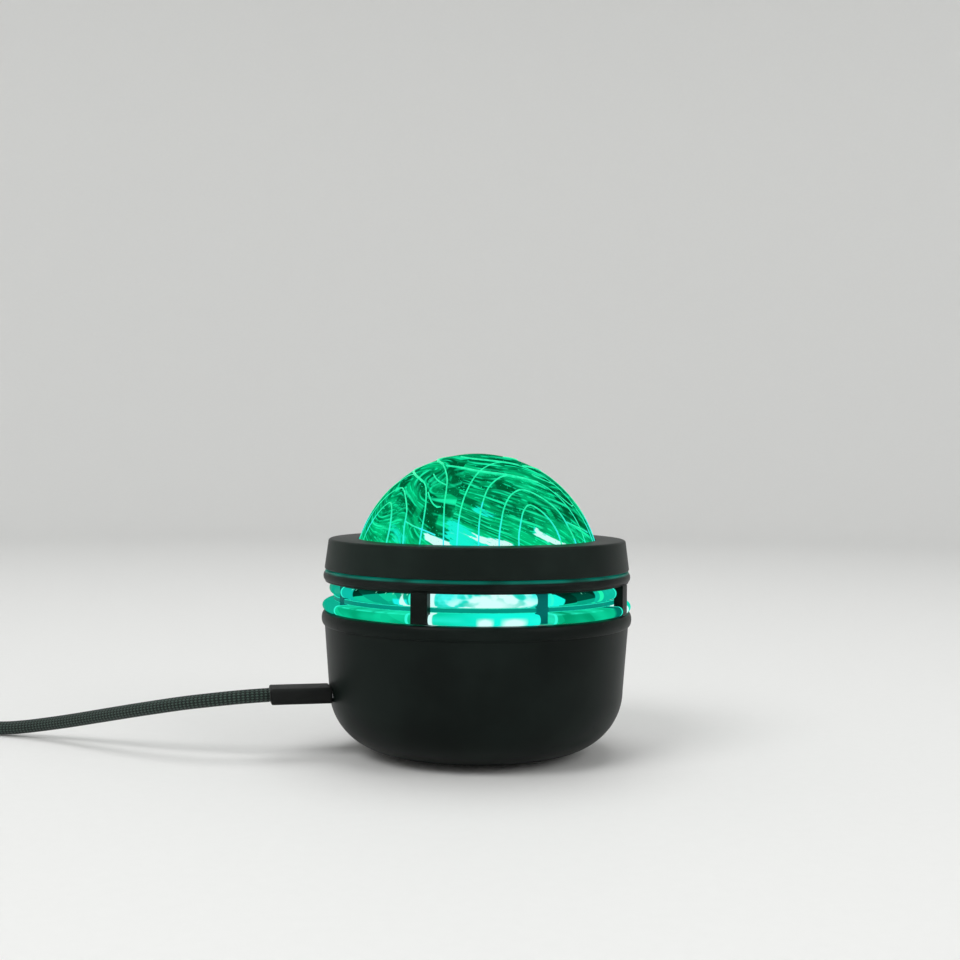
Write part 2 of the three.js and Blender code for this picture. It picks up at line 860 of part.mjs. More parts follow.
function lightBoard() {
  const bottom = plateTop + seatGap;
  const disc = ring(shaftRadius + runningGap, lightBoardRadius, bottom, lightBoardTop, hiddenSteps);
  const earClearance = earAzimuths.map((azimuth) =>
    post(pilotRadius + seatGap, earReach, azimuth, bottom - overrun, lightBoardTop + overrun, screwSteps),
  );
  return cut(disc, ...earClearance);
}

// One surface lamp: a square package with a round lens, its underside at z = 0.
function lamp() {
  const body = new THREE.BoxGeometry(lampWidth, lampWidth, lampHeight);
  body.translate(0, 0, lampHeight / 2);
  const lens = ring(0, lampLensRadius, lampHeight - embed, lampHeight + lampLensHeight, smallSteps);
  return join(body, lens);
}

// The glossy dish under the windows. Its flange carries the light ring inside the cup's lip.
function reflectorTray() {
  const rimBottom = lipTop - flangeHeight;
  const holder = sleeveInner - flangeHeight;
  const outer = lipInner - seatGap;
  const outline = [
    [shaftRadius + runningGap, trayFloorLevel],
    [trayFloorRadius, trayFloorLevel],
    [holder, rimBottom],
    [outer, rimBottom],
    [outer, lipTop],
    [holder, lipTop],
    [trayFloorRadius, trayFloorLevel + trayThickness],
    [shaftRadius + runningGap, trayFloorLevel + trayThickness],
  ];
  const dish = revolve(outline, hiddenSteps);
  const legs = standoffAzimuths.map((azimuth) =>
    post(standoffRadius, sleeveInner, azimuth, plateTop + seatGap, rimBottom + embed),
  );
  const lampHoles = lampAzimuths.map((azimuth) =>
    post(
      lampWidth * Math.SQRT1_2 + trayLampHole,
      lampCircle,
      azimuth,
      trayFloorLevel - overrun,
      trayFloorLevel + trayThickness + overrun,
    ),
  );
  const clipSlots = legAzimuths.map((azimuth) =>
    block(
      clipWidth + 2 * seatGap,
      clipInner - seatGap,
      outer + overrun,
      azimuth,
      rimBottom - overrun,
      lipTop + overrun,
    ),
  );
  return cut(join(dish, ...legs), ...lampHoles, ...clipSlots);
}

// The clear ring: a sleeve with an upper and a lower lobe, round-nosed like pillows, cut away at the
// legs and at the uprights.
function lightRing() {
  const bottom = lipTop + seatGap;
  const top = bandBottom - seatGap;
  const notchBottom = hoopLevel - hoopHeight / 2 - seatGap;
  const notchTop = hoopLevel + hoopHeight / 2 + seatGap;
  const lowerNose = (notchBottom - bottom) / 2;
  const upperNose = (top - notchTop) / 2;
  const lowerReach = legOuter + lowerLobeProud;
  const upperReach = legOuter - upperLobeDrawn;
  const body = revolve([
    [sleeveInner, bottom],
    ...arc(lowerReach - lowerNose, bottom + lowerNose, lowerNose, lowerNose, -90, 90, beadSteps),
    [sleeveOuter, notchBottom],
    [sleeveOuter, notchTop],
    ...arc(upperReach - upperNose, notchTop + upperNose, upperNose, upperNose, -90, 90, beadSteps),
    [sleeveInner, top],
  ]);
  const slot = (azimuth, width) =>
    block(width + 2 * seatGap, 0, lowerReach + overrun, azimuth, bottom - overrun, top + overrun);
  const legSlots = legAzimuths.map((azimuth) => slot(azimuth, legWidth));
  const uprightSlots = uprightAzimuths.map((azimuth) => slot(azimuth, uprightWidth));
  const sleeve = ring(0, sleeveOuter, bottom - 2 * overrun, top + 2 * overrun);
  const slots = cut(join(...legSlots, ...uprightSlots), sleeve);
  return cut(body, slots);
}

// The split hoop with its four uprights, sprung into the groove between the lobes.
function dividerFrame() {
  const bottom = lipTop + seatGap;
  const top = bandBottom - seatGap;
  const shell = ring(hoopInner, hoopOuter, bottom, top);
  const hoop = ring(hoopInner, hoopOuter, hoopLevel - hoopHeight / 2, hoopLevel + hoopHeight / 2);
  const bars = uprightAzimuths.map((azimuth) =>
    block(uprightWidth, 0, hoopOuter + overrun, azimuth, bottom - overrun, top + overrun),
  );
  const split = block(hoopSplit, 0, hoopOuter + overrun, hoopSplitAzimuth, bottom, top);
  return cut(join(hoop, common(shell, join(...bars))), split);
}

// The black cage: a beaded top band, four wide legs over the windows, and a clip under each leg.
function windowCage() {
  const beadMiddle = (bandBottom + bandTop) / 2;
  const beadHalf = (bandHeight * bandBeadShare) / 2;
  const band = revolve([
    [bandInner, bandBottom],
    [bandOuter, bandBottom],
    ...arc(bandOuter, beadMiddle, bandBulge, beadHalf, -90, 90, beadSteps),
    [bandOuter, bandTop],
    [bandInner, bandTop],
  ]);
  const legBottom = lipTop + seatGap;
  const bars = legAzimuths.map((azimuth) =>
    block(legWidth, legInner - wall, legOuter + overrun, azimuth, legBottom, bandBottom + embed),
  );
  const legs = common(join(...bars), ring(legInner, legOuter, legBottom - overrun, bandTop));
  const clips = legAzimuths.map((azimuth) =>
    join(
      block(clipWidth, clipInner, legInner + embed, azimuth, legBottom, legBottom + bridgeHeight),
      block(clipWidth, clipInner, clipOuter, azimuth, clipBottom, legBottom + bridgeHeight),
      block(clipWidth, clipInner, clipOuter + clipNib, azimuth, clipBottom, clipBottom + clipNibHeight),
    ),
  );
  const holes = legAzimuths.map((azimuth) =>
    post(pilotRadius, cageScrewCircle, azimuth, bandBottom - overrun, bandTop + overrun, screwSteps),
  );
  const counterbores = legAzimuths.map((azimuth) =>
    post(
      counterboreRadius,
      cageScrewCircle,
      azimuth,
      bandBottom - overrun,
      bandBottom + counterboreDepth,
      screwSteps,
    ),
  );
  return cut(join(band, legs, ...clips), ...holes, ...counterbores);
}

// The bezel: a tapered skin with a rounded edge, a lip over the dome and a channel with bosses below.
function bezelRing() {
  const lipBottom = bezelTop - bezelLip;
  const openingTop = sectionRadius(domeRadius, bezelTop - domeCentre) + domeOpeningGap;
  const openingBottom = sectionRadius(domeRadius, lipBottom - domeCentre) + domeOpeningGap;
  const edge = bezelTopRadius - bezelEdge;
  const channelTop = bezelTop - bezelSkin;
  const body = revolve([
    [bezelInner, bezelBottom],
    [bezelCavityInner, bezelBottom],
    [bezelCavityInner, channelTop],
    [bezelCavityOuter, channelTop],
    [bezelCavityOuter, bezelBottom],
    [bezelBottomRadius - bezelFoot, bezelBottom],
    [bezelBottomRadius, bezelBottom + bezelFoot],
    ...arc(edge, bezelTop - bezelEdge, bezelEdge, bezelEdge, 0, 90, cornerSteps),
    [openingTop, bezelTop],
    [openingBottom, lipBottom],
    [bezelInner, lipBottom],
  ]);
  const bosses = legAzimuths.map((azimuth) =>
    post(bezelBossRadius, cageScrewCircle, azimuth, bezelBottom, channelTop + embed),
  );
  const pilots = legAzimuths.map((azimuth) =>
    post(
      pilotRadius,
      cageScrewCircle,
      azimuth,
      bezelBottom - overrun,
      bezelBottom + bezelPilotDepth,
      screwSteps,
    ),
  );
  return cut(join(body, ...bosses), ...pilots);
}

// The spoked carrier that the dome and the inner lens stand on, with a ridge between them.
function domeCarrier() {
  const bottom = carrierTop - carrierThickness;
  const outer = domeRadius - carrierInset;
  const outline = [
    [outer - carrierRimWidth, bottom],
    [outer, bottom],
    [outer, carrierTop],
    [ridgeOuter, carrierTop],
    [ridgeOuter, carrierTop + ridgeHeight],
    [ridgeInner, carrierTop + ridgeHeight],
    [ridgeInner, carrierTop],
    [outer - carrierRimWidth, carrierTop],
  ];
  const rim = revolve(outline, hiddenSteps);
  const hub = ring(0, hubRadius, carrierTop - hubLength, carrierTop, hiddenSteps);
  const spokes = Array.from({ length: spokeCount }, (_, i) =>
    block(
      spokeWidth,
      hubRadius - overrun,
      outer - carrierRimWidth + overrun,
      (360 * i) / spokeCount,
      bottom,
      carrierTop,
    ),
  );
  const bore = post(
    shaftRadius + slidingGap,
    0,
    0,
    carrierTop - hubLength - overrun,
    carrierTop - hubWeb,
  );
  const screwHole = post(pilotRadius, 0, 0, carrierTop - 2 * hubWeb, carrierTop + overrun, screwSteps);
  return cut(join(rim, hub, ...spokes), bore, screwHole);
}

// The shaft: round in the gearbox, with a flat in the hub and a screw hole in its end.
function motorShaft() {
  const top = carrierTop - hubWeb - seatGap;
  const rod = post(shaftRadius, 0, 0, gearboxTop - shaftHidden, top);
  const flat = block(
    2 * shaftRadius,
    shaftRadius - shaftFlat,
    shaftRadius + overrun,
    0,
    carrierTop - hubLength,
    top + overrun,
  );
  const hole = post(pilotRadius, 0, 0, top - hubScrewLength, top + overrun, screwSteps);
  return cut(rod, flat, hole);
}

// One arch: up one side, over a rounded top and down the other, on the dome's inner face.
function archRib(azimuth, halfWidth, apex) {
  const power = 2 / archSquareness;
  const drawn = [];
  for (let i = 0; i <= archDrawSteps; i++) {
    const angle = (Math.PI * i) / archDrawSteps;
    const side = Math.sign(Math.cos(angle)) * Math.abs(Math.cos(angle)) ** power;
    const rise = Math.abs(Math.sin(angle)) ** power;
    const elevation = THREE.MathUtils.degToRad(archFootElevation + (apex - archFootElevation) * rise);
    const around = turn(azimuth - halfWidth * side);
    const flat = Math.cos(elevation);
    drawn.push(new THREE.Vector3(flat * Math.cos(around), flat * Math.sin(around), Math.sin(elevation)));
  }
  const line = new THREE.CatmullRomCurve3(drawn);
  const steps = Math.ceil((line.getLength() * domeInner) / archSpacing);
  const centre = new THREE.Vector3(0, 0, domeCentre);
  const points = line.getSpacedPoints(steps).map((point) => point.setLength(domeInner).add(centre));
  return sweep(points, (point) => point.clone().sub(centre).normalize(), [
    [-archLine, archLine],
    [archLine, archLine],
    [0, -archLine],
  ]);
}

// Sweeps a small section along points. Its second axis lies along upAt(point), its first beside it.
function sweep(points, upAt, section) {
  const positions = [];
  const index = [];
  const last = points.length - 1;
  points.forEach((point, i) => {
    const before = points[Math.max(i - 1, 0)];
    const after = points[Math.min(i + 1, last)];
    const along = after.clone().sub(before).normalize();
    const side = along.clone().cross(upAt(point)).normalize();
    const up = side.clone().cross(along);
    for (const [across, high] of section) {
      const corner = point.clone().addScaledVector(side, across).addScaledVector(up, high);
      positions.push(corner.x, corner.y, corner.z);
    }
  });
  const sides = section.length;
  for (let i = 0; i < last; i++) {
    for (let j = 0; j < sides; j++) {
      const a = i * sides + j;
      const b = i * sides + ((j + 1) % sides);
      index.push(a, b, a + sides, b, b + sides, a + sides);
    }
  }
  for (let j = 1; j < sides - 1; j++) {
    index.push(0, j + 1, j);
    index.push(last * sides, last * sides + j, last * sides + j + 1);
  }
  const area = THREE.ShapeUtils.area(section.map(([x, y]) => new THREE.Vector2(x, y)));
  if (area > 0) index.reverse();
  const geometry = new THREE.BufferGeometry();
  geometry.setAttribute("position", new THREE.Float32BufferAttribute(positions, 3));
  return geometry.setIndex(index);
}

function domeShell() {
  const shell = revolve([
    ...arc(0, domeCentre, domeRadius, domeRadius, 0, 90, domeRings),
    ...arc(0, domeCentre, domeInner, domeInner, 90, 0, domeInnerRings),
  ]);
  const ribs = archFamilyAzimuths.flatMap((azimuth) =>
    archHalfWidths.map((halfWidth, i) => archRib(azimuth, halfWidth, archApexElevations[i])),
  );
  return join(shell, ...ribs);
}

// The inner lens: a dome whose outer face is drawn into twisted waves that die out at its rim.
function waveDome() {
  const inner = waveRadius - waveWall;
  const lens = revolve([
    ...arc(0, domeCentre, waveRadius, waveRadius, 0, 90, waveRings),
    ...arc(0, domeCentre, inner, inner, 90, 0, waveInnerRings),
  ]);
  const centre = new THREE.Vector3(0, 0, domeCentre);
  const place = lens.attributes.position;
  const point = new THREE.Vector3();
  for (let i = 0; i < place.count; i++) {
    point.fromBufferAttribute(place, i).sub(centre);
    const reach = point.length();
    if (reach < (waveRadius + inner) / 2) continue;
    const polar = Math.acos(Math.min(point.z / reach, 1));
    const azimuth = Math.atan2(point.y, point.x);
    const swirl = Math.sin(waveCount * azimuth + waveTwist * polar);
    const ripple = Math.cos(2 * waveRipples * polar);
    const fade = Math.sin(2 * polar);
    point.multiplyScalar(1 + (waveHeight * swirl * ripple * fade) / reach).add(centre);
    place.setXYZ(i, point.x, point.y, point.z);
  }
  return lens;
}

// The free lengths of cord are tubes along their points.
function cordTube(points, steps) {
  const route = new THREE.CatmullRomCurve3(points.map((point) => new THREE.Vector3(...point)));
  const section = new THREE.Shape();
  for (let i = 0; i <= cordSides; i++) {
    const angle = (2 * Math.PI * i) / cordSides;
    const x = (cordDiameter / 2) * Math.cos(angle);
    const y = (cordDiameter / 2) * Math.sin(angle);
    if (i === 0) section.moveTo(x, y);
    else section.lineTo(x, y);
  }
  return new THREE.ExtrudeGeometry(section, { steps, bevelEnabled: false, extrudePath: route });
}

// The wound length: it spirals in on the table, climbs a layer in the half turn where the spiral
// reverses, and spirals out again on top, with a straight end of one diameter at each side.
function coilPoints() {
  const half = coilTurns / 2;
  const total = coilTurns * coilSteps;
  const low = cordDiameter / 2 + tableGap;
  const points = [];
  for (let i = 0; i <= total; i++) {
    const turns = i / coilSteps;
    const away = Math.abs(turns - half);
    const rounded = (away * away) / (2 * coilReversalShare) + coilReversalShare / 2;
    const eased = away < coilReversalShare ? rounded : away;
    const radius = coilRadius - coilPitch * (half - eased);
    const climb = THREE.MathUtils.smoothstep(turns, half - coilReversalShare, half + coilReversalShare);
    const angle = Math.PI / 2 + 2 * Math.PI * turns;
    const x = coilCentre[0] + radius * Math.cos(angle);
    const y = coilCentre[1] + radius * Math.sin(angle);
    points.push(new THREE.Vector3(x, y, low + coilPitch * climb));
  }
  const first = points[0].clone();
  const final = points[total].clone();
  first.x += cordDiameter;
  final.x -= cordDiameter;
  return [first, ...points, final];
}

function cordCoil() {
  const section = Array.from({ length: coilSides }, (_, i) => {
    const angle = (2 * Math.PI * i) / coilSides;
    return [(cordDiameter / 2) * Math.cos(angle), (cordDiameter / 2) * Math.sin(angle)];
  });
  return sweep(coilPoints(), () => new THREE.Vector3(0, 0, 1), section);
}

// The least gap between turns of the wound length, measured on its points.
function leastSelfGap(points) {
  const near = Math.ceil(coilSteps / 2);
  let least = Infinity;
  points.forEach((a, i) => {
    for (let j = i + near; j < points.length; j++) least = Math.min(least, a.distanceTo(points[j]));
  });
  return least - cordDiameter;
}

function routeLength(points) {
  return points.slice(1).reduce((sum, point, i) => sum + point.distanceTo(points[i]), 0);
}

// The far plug, along its own X axis with the cord at its origin.
function farPlugBody() {
  return bar(farPlugWidth, farPlugThickness, farPlugCorner, 0, farPlugLength, farPlugEdge);
}

function farPlugShell() {
  const start = farPlugLength + seatGap;
  const outer = bar(farShellWidth, farShellHeight, farShellCorner, start, start + farShellLength);
  const hollow = bar(
    farShellWidth - 2 * farShellWall,
    farShellHeight - 2 * farShellWall,
    farShellCorner - farShellWall / 2,
    start + farShellWall,
    start + farShellLength + overrun,
  );
  return cut(outer, hollow);
}

function farPlugTongue() {
  const start = farPlugLength + seatGap + farShellWall + seatGap;
  const width = farShellWidth - 2 * farShellWall - 2 * seatGap;
  const top = farShellHeight / 2 - farShellWall - seatGap;
  const length = farShellLength - farTongueInset - seatGap;
  const tongue = new THREE.BoxGeometry(length, width, farTongueThickness);
  tongue.translate(start + length / 2, 0, 0);
  return tongue.translate(0, 0, top - farTongueThickness / 2);
}

// The assembly, from the table up
const root = new THREE.Group();
const base = new THREE.Group();
const lightEngine = new THREE.Group();
const upper = new THREE.Group();
const rotor = new THREE.Group();
const powerPort = new THREE.Group();
const button = new THREE.Group();
const cord = new THREE.Group();
root.add(base, lightEngine, upper, rotor, powerPort, button, cord);

piece(base, "lower_housing", lowerHousing(), materials.shell);
piece(base, "base_cover", baseCover(), materials.cover);
footAzimuths.forEach((azimuth, i) => {
  const foot = piece(base, `rubber_foot_${i + 1}`, rubberFoot(), materials.rubber);
  foot.position.set(footCircle * Math.cos(turn(azimuth)), footCircle * Math.sin(turn(azimuth)), 0);
});
coverScrewAzimuths.forEach((azimuth, i) => {
  const seat = floorLevel + counterboreDepth - seatGap;
  screwPiece(base, `base_screw_${i + 1}`, coverScrewLength, lugCircle, azimuth, seat, true);
});
piece(base, "main_board", mainBoard(), materials.board);
postAzimuths.forEach((azimuth, i) => {
  const seat = boardTop + seatGap;
  screwPiece(base, `board_screw_${i + 1}`, boardScrewLength, postCircle, azimuth, seat, false);
});

piece(lightEngine, "chassis_plate", chassisPlate(), materials.plate);
bossAzimuths.forEach((azimuth, i) => {
  const seat = plateTop + seatGap;
  screwPiece(lightEngine, `chassis_screw_${i + 1}`, chassisScrewLength, bossCircle, azimuth, seat, false);
});
piece(lightEngine, "motor_gearbox", motorGearbox(), materials.steel);
piece(lightEngine, "motor_can", motorCan(), materials.steel);
earAzimuths.forEach((azimuth, i) => {
  const seat = gearboxTop - earThickness - seatGap;
  screwPiece(lightEngine, `motor_screw_${i + 1}`, motorScrewLength, earReach, azimuth, seat, true);
});
piece(lightEngine, "led_board", lightBoard(), materials.lightBoard);
lampAzimuths.forEach((azimuth, i) => {
  const made = piece(lightEngine, `led_${i + 1}`, lamp(), materials.lamp);
  made.position.set(lampCircle * Math.cos(turn(azimuth)), lampCircle * Math.sin(turn(azimuth)), 0);
  made.position.z = lightBoardTop + seatGap;
  made.rotation.z = turn(azimuth);
});
piece(lightEngine, "reflector_tray", reflectorTray(), materials.tray);

piece(upper, "light_ring", lightRing(), materials.clear);
piece(upper, "divider_frame", dividerFrame(), materials.divider);
piece(upper, "window_cage", windowCage(), materials.shell);
piece(upper, "bezel_ring", bezelRing(), materials.shell);
legAzimuths.forEach((azimuth, i) => {
  const seat = bandBottom + counterboreDepth - seatGap;
  screwPiece(upper, `cage_screw_${i + 1}`, cageScrewLength, cageScrewCircle, azimuth, seat, true);
});

piece(rotor, "motor_shaft", motorShaft(), materials.steel);
piece(rotor, "dome_carrier", domeCarrier(), materials.plate);
screwPiece(rotor, "hub_screw", hubScrewLength, 0, 0, carrierTop + seatGap, false);
piece(rotor, "wave_dome", waveDome(), materials.clear);
piece(rotor, "dome_shell", domeShell(), materials.clear);

powerPort.position.z = socketLevel;
powerPort.rotation.z = turn(socketAzimuth);
piece(powerPort, "usb_socket_shell", socketShell(), materials.steel);
piece(powerPort, "usb_socket_tongue", socketTongue(), materials.tongue);
piece(powerPort, "usb_plug_shell", plugShell(), materials.steel);
piece(powerPort, "usb_plug_body", plugBody(), materials.plug);

button.position.z = buttonLevel;
button.rotation.z = turn(buttonAzimuth);
piece(button, "mode_button", modeButton(), materials.cover);
piece(button, "switch_plunger", switchPlunger(), materials.tongue);
piece(button, "mode_switch", modeSwitch(), materials.tongue);

const exit = [Math.cos(turn(socketAzimuth)), Math.sin(turn(socketAzimuth))].map(
  (share) => share * (plugEnd + seatGap),
);
const wound = coilPoints();
const woundStart = wound[0].clone();
const woundEnd = wound[wound.length - 1].clone();
woundStart.x += seatGap;
woundEnd.x -= seatGap;
const lead = [[...exit, socketLevel], ...leadPoints, woundStart.toArray()];
const tail = [woundEnd.toArray(), ...tailPoints];
piece(cord, "cord_lead", cordTube(lead, leadSteps), materials.braid);
piece(cord, "cord_coil", cordCoil(), materials.braid);
piece(cord, "cord_tail", cordTube(tail, tailSteps), materials.braid);

const farPlug = new THREE.Group();
const tailEnd = new THREE.Vector3(...tailPoints[tailPoints.length - 1]);
const tailBefore = new THREE.Vector3(...tailPoints[tailPoints.length - 2]);
const heading = Math.atan2(tailEnd.y - tailBefore.y, tailEnd.x - tailBefore.x);
farPlug.rotation.z = heading;
farPlug.position.set(
  tailEnd.x + seatGap * Math.cos(heading),
  tailEnd.y + seatGap * Math.sin(heading),
  farPlugThickness / 2,
);
cord.add(farPlug);
piece(farPlug, "usb_a_body", farPlugBody(), materials.plug);
piece(farPlug, "usb_a_shell", farPlugShell(), materials.steel);
piece(farPlug, "usb_a_tongue", farPlugTongue(), materials.tongue);

const asRoute = (points) => points.map((point) => new THREE.Vector3(...point));
const cordLength = routeLength(asRoute(lead)) + routeLength(wound) + routeLength(asRoute(tail));
console.log(`least gap in the wound cord ${leastSelfGap(wound).toFixed(2)} mm`);
console.log(`cord length ${cordLength.toFixed(0)} mm`);

export default root;
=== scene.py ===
"""Projector night light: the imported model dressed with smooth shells, a lit dome and window band, a
braided cord and plugs, seen as the photograph frames it. Sizes are in millimetres until a mesh or a
point is made, and azimuths are in degrees from the front towards +X."""
import json
import math

import bmesh
import bpy
from mathutils import Matrix, Vector


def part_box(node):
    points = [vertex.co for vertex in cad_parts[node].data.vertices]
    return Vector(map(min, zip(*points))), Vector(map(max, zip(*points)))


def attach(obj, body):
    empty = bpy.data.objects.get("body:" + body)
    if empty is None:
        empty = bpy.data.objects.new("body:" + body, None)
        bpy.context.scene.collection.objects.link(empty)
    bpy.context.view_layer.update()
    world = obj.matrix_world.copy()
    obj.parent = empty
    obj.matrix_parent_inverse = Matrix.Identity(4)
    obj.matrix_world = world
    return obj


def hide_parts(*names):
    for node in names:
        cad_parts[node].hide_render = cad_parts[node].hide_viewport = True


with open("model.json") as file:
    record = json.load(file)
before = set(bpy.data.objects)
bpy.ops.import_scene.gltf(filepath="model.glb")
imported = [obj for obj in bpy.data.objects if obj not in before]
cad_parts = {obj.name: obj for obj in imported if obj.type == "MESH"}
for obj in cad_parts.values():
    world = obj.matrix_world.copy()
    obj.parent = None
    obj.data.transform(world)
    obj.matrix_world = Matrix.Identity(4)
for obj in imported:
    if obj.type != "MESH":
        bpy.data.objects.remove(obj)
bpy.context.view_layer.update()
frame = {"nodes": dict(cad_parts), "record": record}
MM = 0.001
DEGREE = math.pi / 180


def span(node):
    """A node's lowest and highest corners, in millimetres."""
    low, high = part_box(node)
    return Vector(low) / MM, Vector(high) / MM


def linked(name, data):
    """A new object in the scene."""
    made = bpy.data.objects.new(name, data)
    bpy.context.scene.collection.objects.link(made)
    return made


# Camera, from the photograph's horizon, axis and rim
PHOTO_WIDTH = 960
FOCAL_PIXELS = 1440
SENSOR = 36
CAMERA_AT = (0.7, -422, 86.4)
PITCH_DOWN = 0.955
ROLL = 0.45
NEAREST = 10
FARTHEST = 20000

camera_data = bpy.data.cameras.new("camera")
camera_data.sensor_width = SENSOR
camera_data.lens = SENSOR * FOCAL_PIXELS / PHOTO_WIDTH
camera_data.clip_start = NEAREST * MM
camera_data.clip_end = FARTHEST * MM
camera = linked("camera", camera_data)
camera.matrix_world = (
    Matrix.Translation(Vector(CAMERA_AT) * MM)
    @ Matrix.Rotation(math.radians(90 - PITCH_DOWN), 4, "X")
    @ Matrix.Rotation(math.radians(ROLL), 4, "Z")
)
bpy.context.scene.camera = camera


# Shader maths


class Value:
    """A shader socket that sums and products can use."""

    def __init__(self, finish, socket):
        self.finish = finish
        self.socket = socket

    def math(self, operation, *others, clamp=False):
        values = dict(enumerate((self, *others)))
        settings = {"operation": operation, "use_clamp": clamp}
        return self.finish.node("ShaderNodeMath", settings, values)

    def __add__(self, other):
        return self.math("ADD", other)

    __radd__ = __add__

    def __sub__(self, other):
        return self.math("SUBTRACT", other)

    def __rsub__(self, other):
        return self.math("MULTIPLY_ADD", -1, other)

    def __mul__(self, other):
        return self.math("MULTIPLY", other)

    __rmul__ = __mul__

    def __truediv__(self, other):
        return self.math("DIVIDE", other)

    def __rtruediv__(self, other):
        return self.finish.node("ShaderNodeMath", {"operation": "DIVIDE"}, {0: other, 1: self})

    def __abs__(self):
        return self.math("ABSOLUTE")

    def sine(self):
        return self.math("SINE")

    def clamped(self):
        return self.math("ADD", 0, clamp=True)

    def ramp(self, low, high):
        """0 below low and 1 above high, smooth between. The ends may be given in falling order."""
        settings = {"interpolation_type": "SMOOTHSTEP"}
        values = {"Value": self, "From Min": low, "From Max": high}
        return self.finish.node("ShaderNodeMapRange", settings, values)

    def near(self, middle, reach):
        """1 at the middle, falling evenly to 0 at the reach to either side and below 0 beyond."""
        return 1 - abs((self - middle) / reach)

    def mix(self, first, second):
        """The first colour where this is 0, and the second where it is 1."""
        values = {0: self, 6: first, 7: second}
        return self.finish.node("ShaderNodeMix", {"data_type": "RGBA"}, values, 2)


class Finish:
    """A material whose nodes are added by one method."""

    def __init__(self, name):
        self.material = bpy.data.materials.new(name)
        self.material.use_nodes = True
        self.tree = self.material.node_tree
        self.tree.nodes.clear()

    def node(self, kind, settings=None, values=None, output=0):
        made = self.tree.nodes.new(kind)
        for name, setting in (settings or {}).items():
            setattr(made, name, setting)
        for key, value in (values or {}).items():
            self.feed(made.inputs[key], value)
        return Value(self, made.outputs[output]) if len(made.outputs) else None

    def feed(self, socket, value):
        if isinstance(value, Value):
            self.tree.links.new(value.socket, socket)
        elif isinstance(value, (tuple, list)) and len(value) == 3 and socket.type == "RGBA":
            socket.default_value = (*value, 1)
        else:
            socket.default_value = value

    def place(self, source="Object"):
        return self.node("ShaderNodeTexCoord", output=source)

    def axes(self, vector):
        return [self.node("ShaderNodeSeparateXYZ", None, {0: vector}, i) for i in range(3)]

    def vector(self, x, y, z):
        return self.node("ShaderNodeCombineXYZ", None, {0: x, 1: y, 2: z})

    def stretched(self, vector, *scales):
        return self.vector(*[axis * scale for axis, scale in zip(self.axes(vector), scales)])

    def azimuth(self):
        x, y, _ = self.axes(self.place())
        return x.math("ARCTAN2", y * -1) / DEGREE

    def noise(self, vector, scale=1, detail=2, roughness=0.5):
        values = {"Vector": vector, "Scale": scale, "Detail": detail, "Roughness": roughness}
        return self.node("ShaderNodeTexNoise", None, values)

    def field(self, x, y, z, detail=2, roughness=0.5):
        """Noise at three coordinates, each already multiplied by its scale."""
        return self.noise(self.vector(x, y, z), 1, detail, roughness)

    def bump(self, height, distance):
        """The normal of a surface whose relief is as deep as the distance, in millimetres."""
        values = {"Height": height, "Distance": distance * MM, "Strength": 1}
        return self.node("ShaderNodeBump", None, values)

    def done(self, **sockets):
        """Closes the material with a principled surface, whose sockets' names have underscores."""
        values = {name.replace("_", " "): value for name, value in sockets.items()}
        surface = self.node("ShaderNodeBsdfPrincipled", None, values)
        self.node("ShaderNodeOutputMaterial", None, {"Surface": surface})
        return self.material

    def lit(self, color, **sockets):
        """Closes a material that glows with the colour."""
        return self.done(Emission_Color=color, Emission_Strength=1.0, **sockets)


# Colours, linear
UNLIT = (0.0, 0.0, 0.0)
BLACK = (0.003, 0.0055, 0.0045)
SOFT_BLACK = (0.0095, 0.0135, 0.012)
DEEP_GREEN = (0.0, 0.08, 0.02)
LEAF_GREEN = (0.001, 0.54, 0.19)
BRIGHT_GREEN = (0.005, 0.89, 0.38)
MINT = (0.012, 0.98, 0.44)
CYAN = (0.008, 0.9, 0.66)
HOT_WHITE = (0.66, 1.0, 0.97)
TEAL = (0.001, 0.085, 0.075)

# Noise scales of moulded plastic's grain and of its slow patches of shine
GRAIN_SCALE = 2600
SHINE_SCALE = 45


def moulded(name, color, roughness, grain, coat=0.0):
    """Moulded plastic: a fine grain, slow patches of shine and a little handling wear."""
    finish = Finish(name)
    where = finish.place()
    patches = finish.noise(where, SHINE_SCALE, 3)
    scuffs = finish.noise(finish.stretched(where, 900, 900, 60), 1, 4)
    worn = [min(1, c * 1.6 + 0.001) for c in color]
    return finish.done(
        Base_Color=patches.ramp(0.35, 0.7).mix(color, worn),
        Roughness=patches * 0.16 + scuffs.ramp(0.62, 0.75) * 0.1 + (roughness - 0.08),
        Specular_IOR_Level=0.08,
        Coat_Weight=coat,
        Coat_Roughness=0.25,
        Normal=finish.bump(finish.noise(where, GRAIN_SCALE, 2), grain),
    )


def cage_material():
    """The cage's black plastic, with the teal light that leaks along its top edge painted on as a
    glow.
    """
    finish = Finish("cage_black")
    where = finish.place()
    _, _, z = finish.axes(where)
    _, high = span("window_cage")
    # A painted glow of teal light along the band's top edge, in clouds round it.
    line = (z / MM - high.z).ramp(-0.75, -0.35)
    cloud = finish.field(finish.azimuth() * 0.06, 0, 0, 1)
    painted_leak_glow = line * (cloud.ramp(0.3, 0.6) * 0.8 + 0.2)
    patches = finish.noise(where, SHINE_SCALE, 3)
    return finish.lit(
        painted_leak_glow.mix(UNLIT, (0.0, 0.14, 0.1)),
        Base_Color=patches.ramp(0.35, 0.7).mix(BLACK, SOFT_BLACK),
        Roughness=patches * 0.16 + 0.32,
        Specular_IOR_Level=0.08,
        Normal=finish.bump(finish.noise(where, GRAIN_SCALE, 2), 0.012),
    )


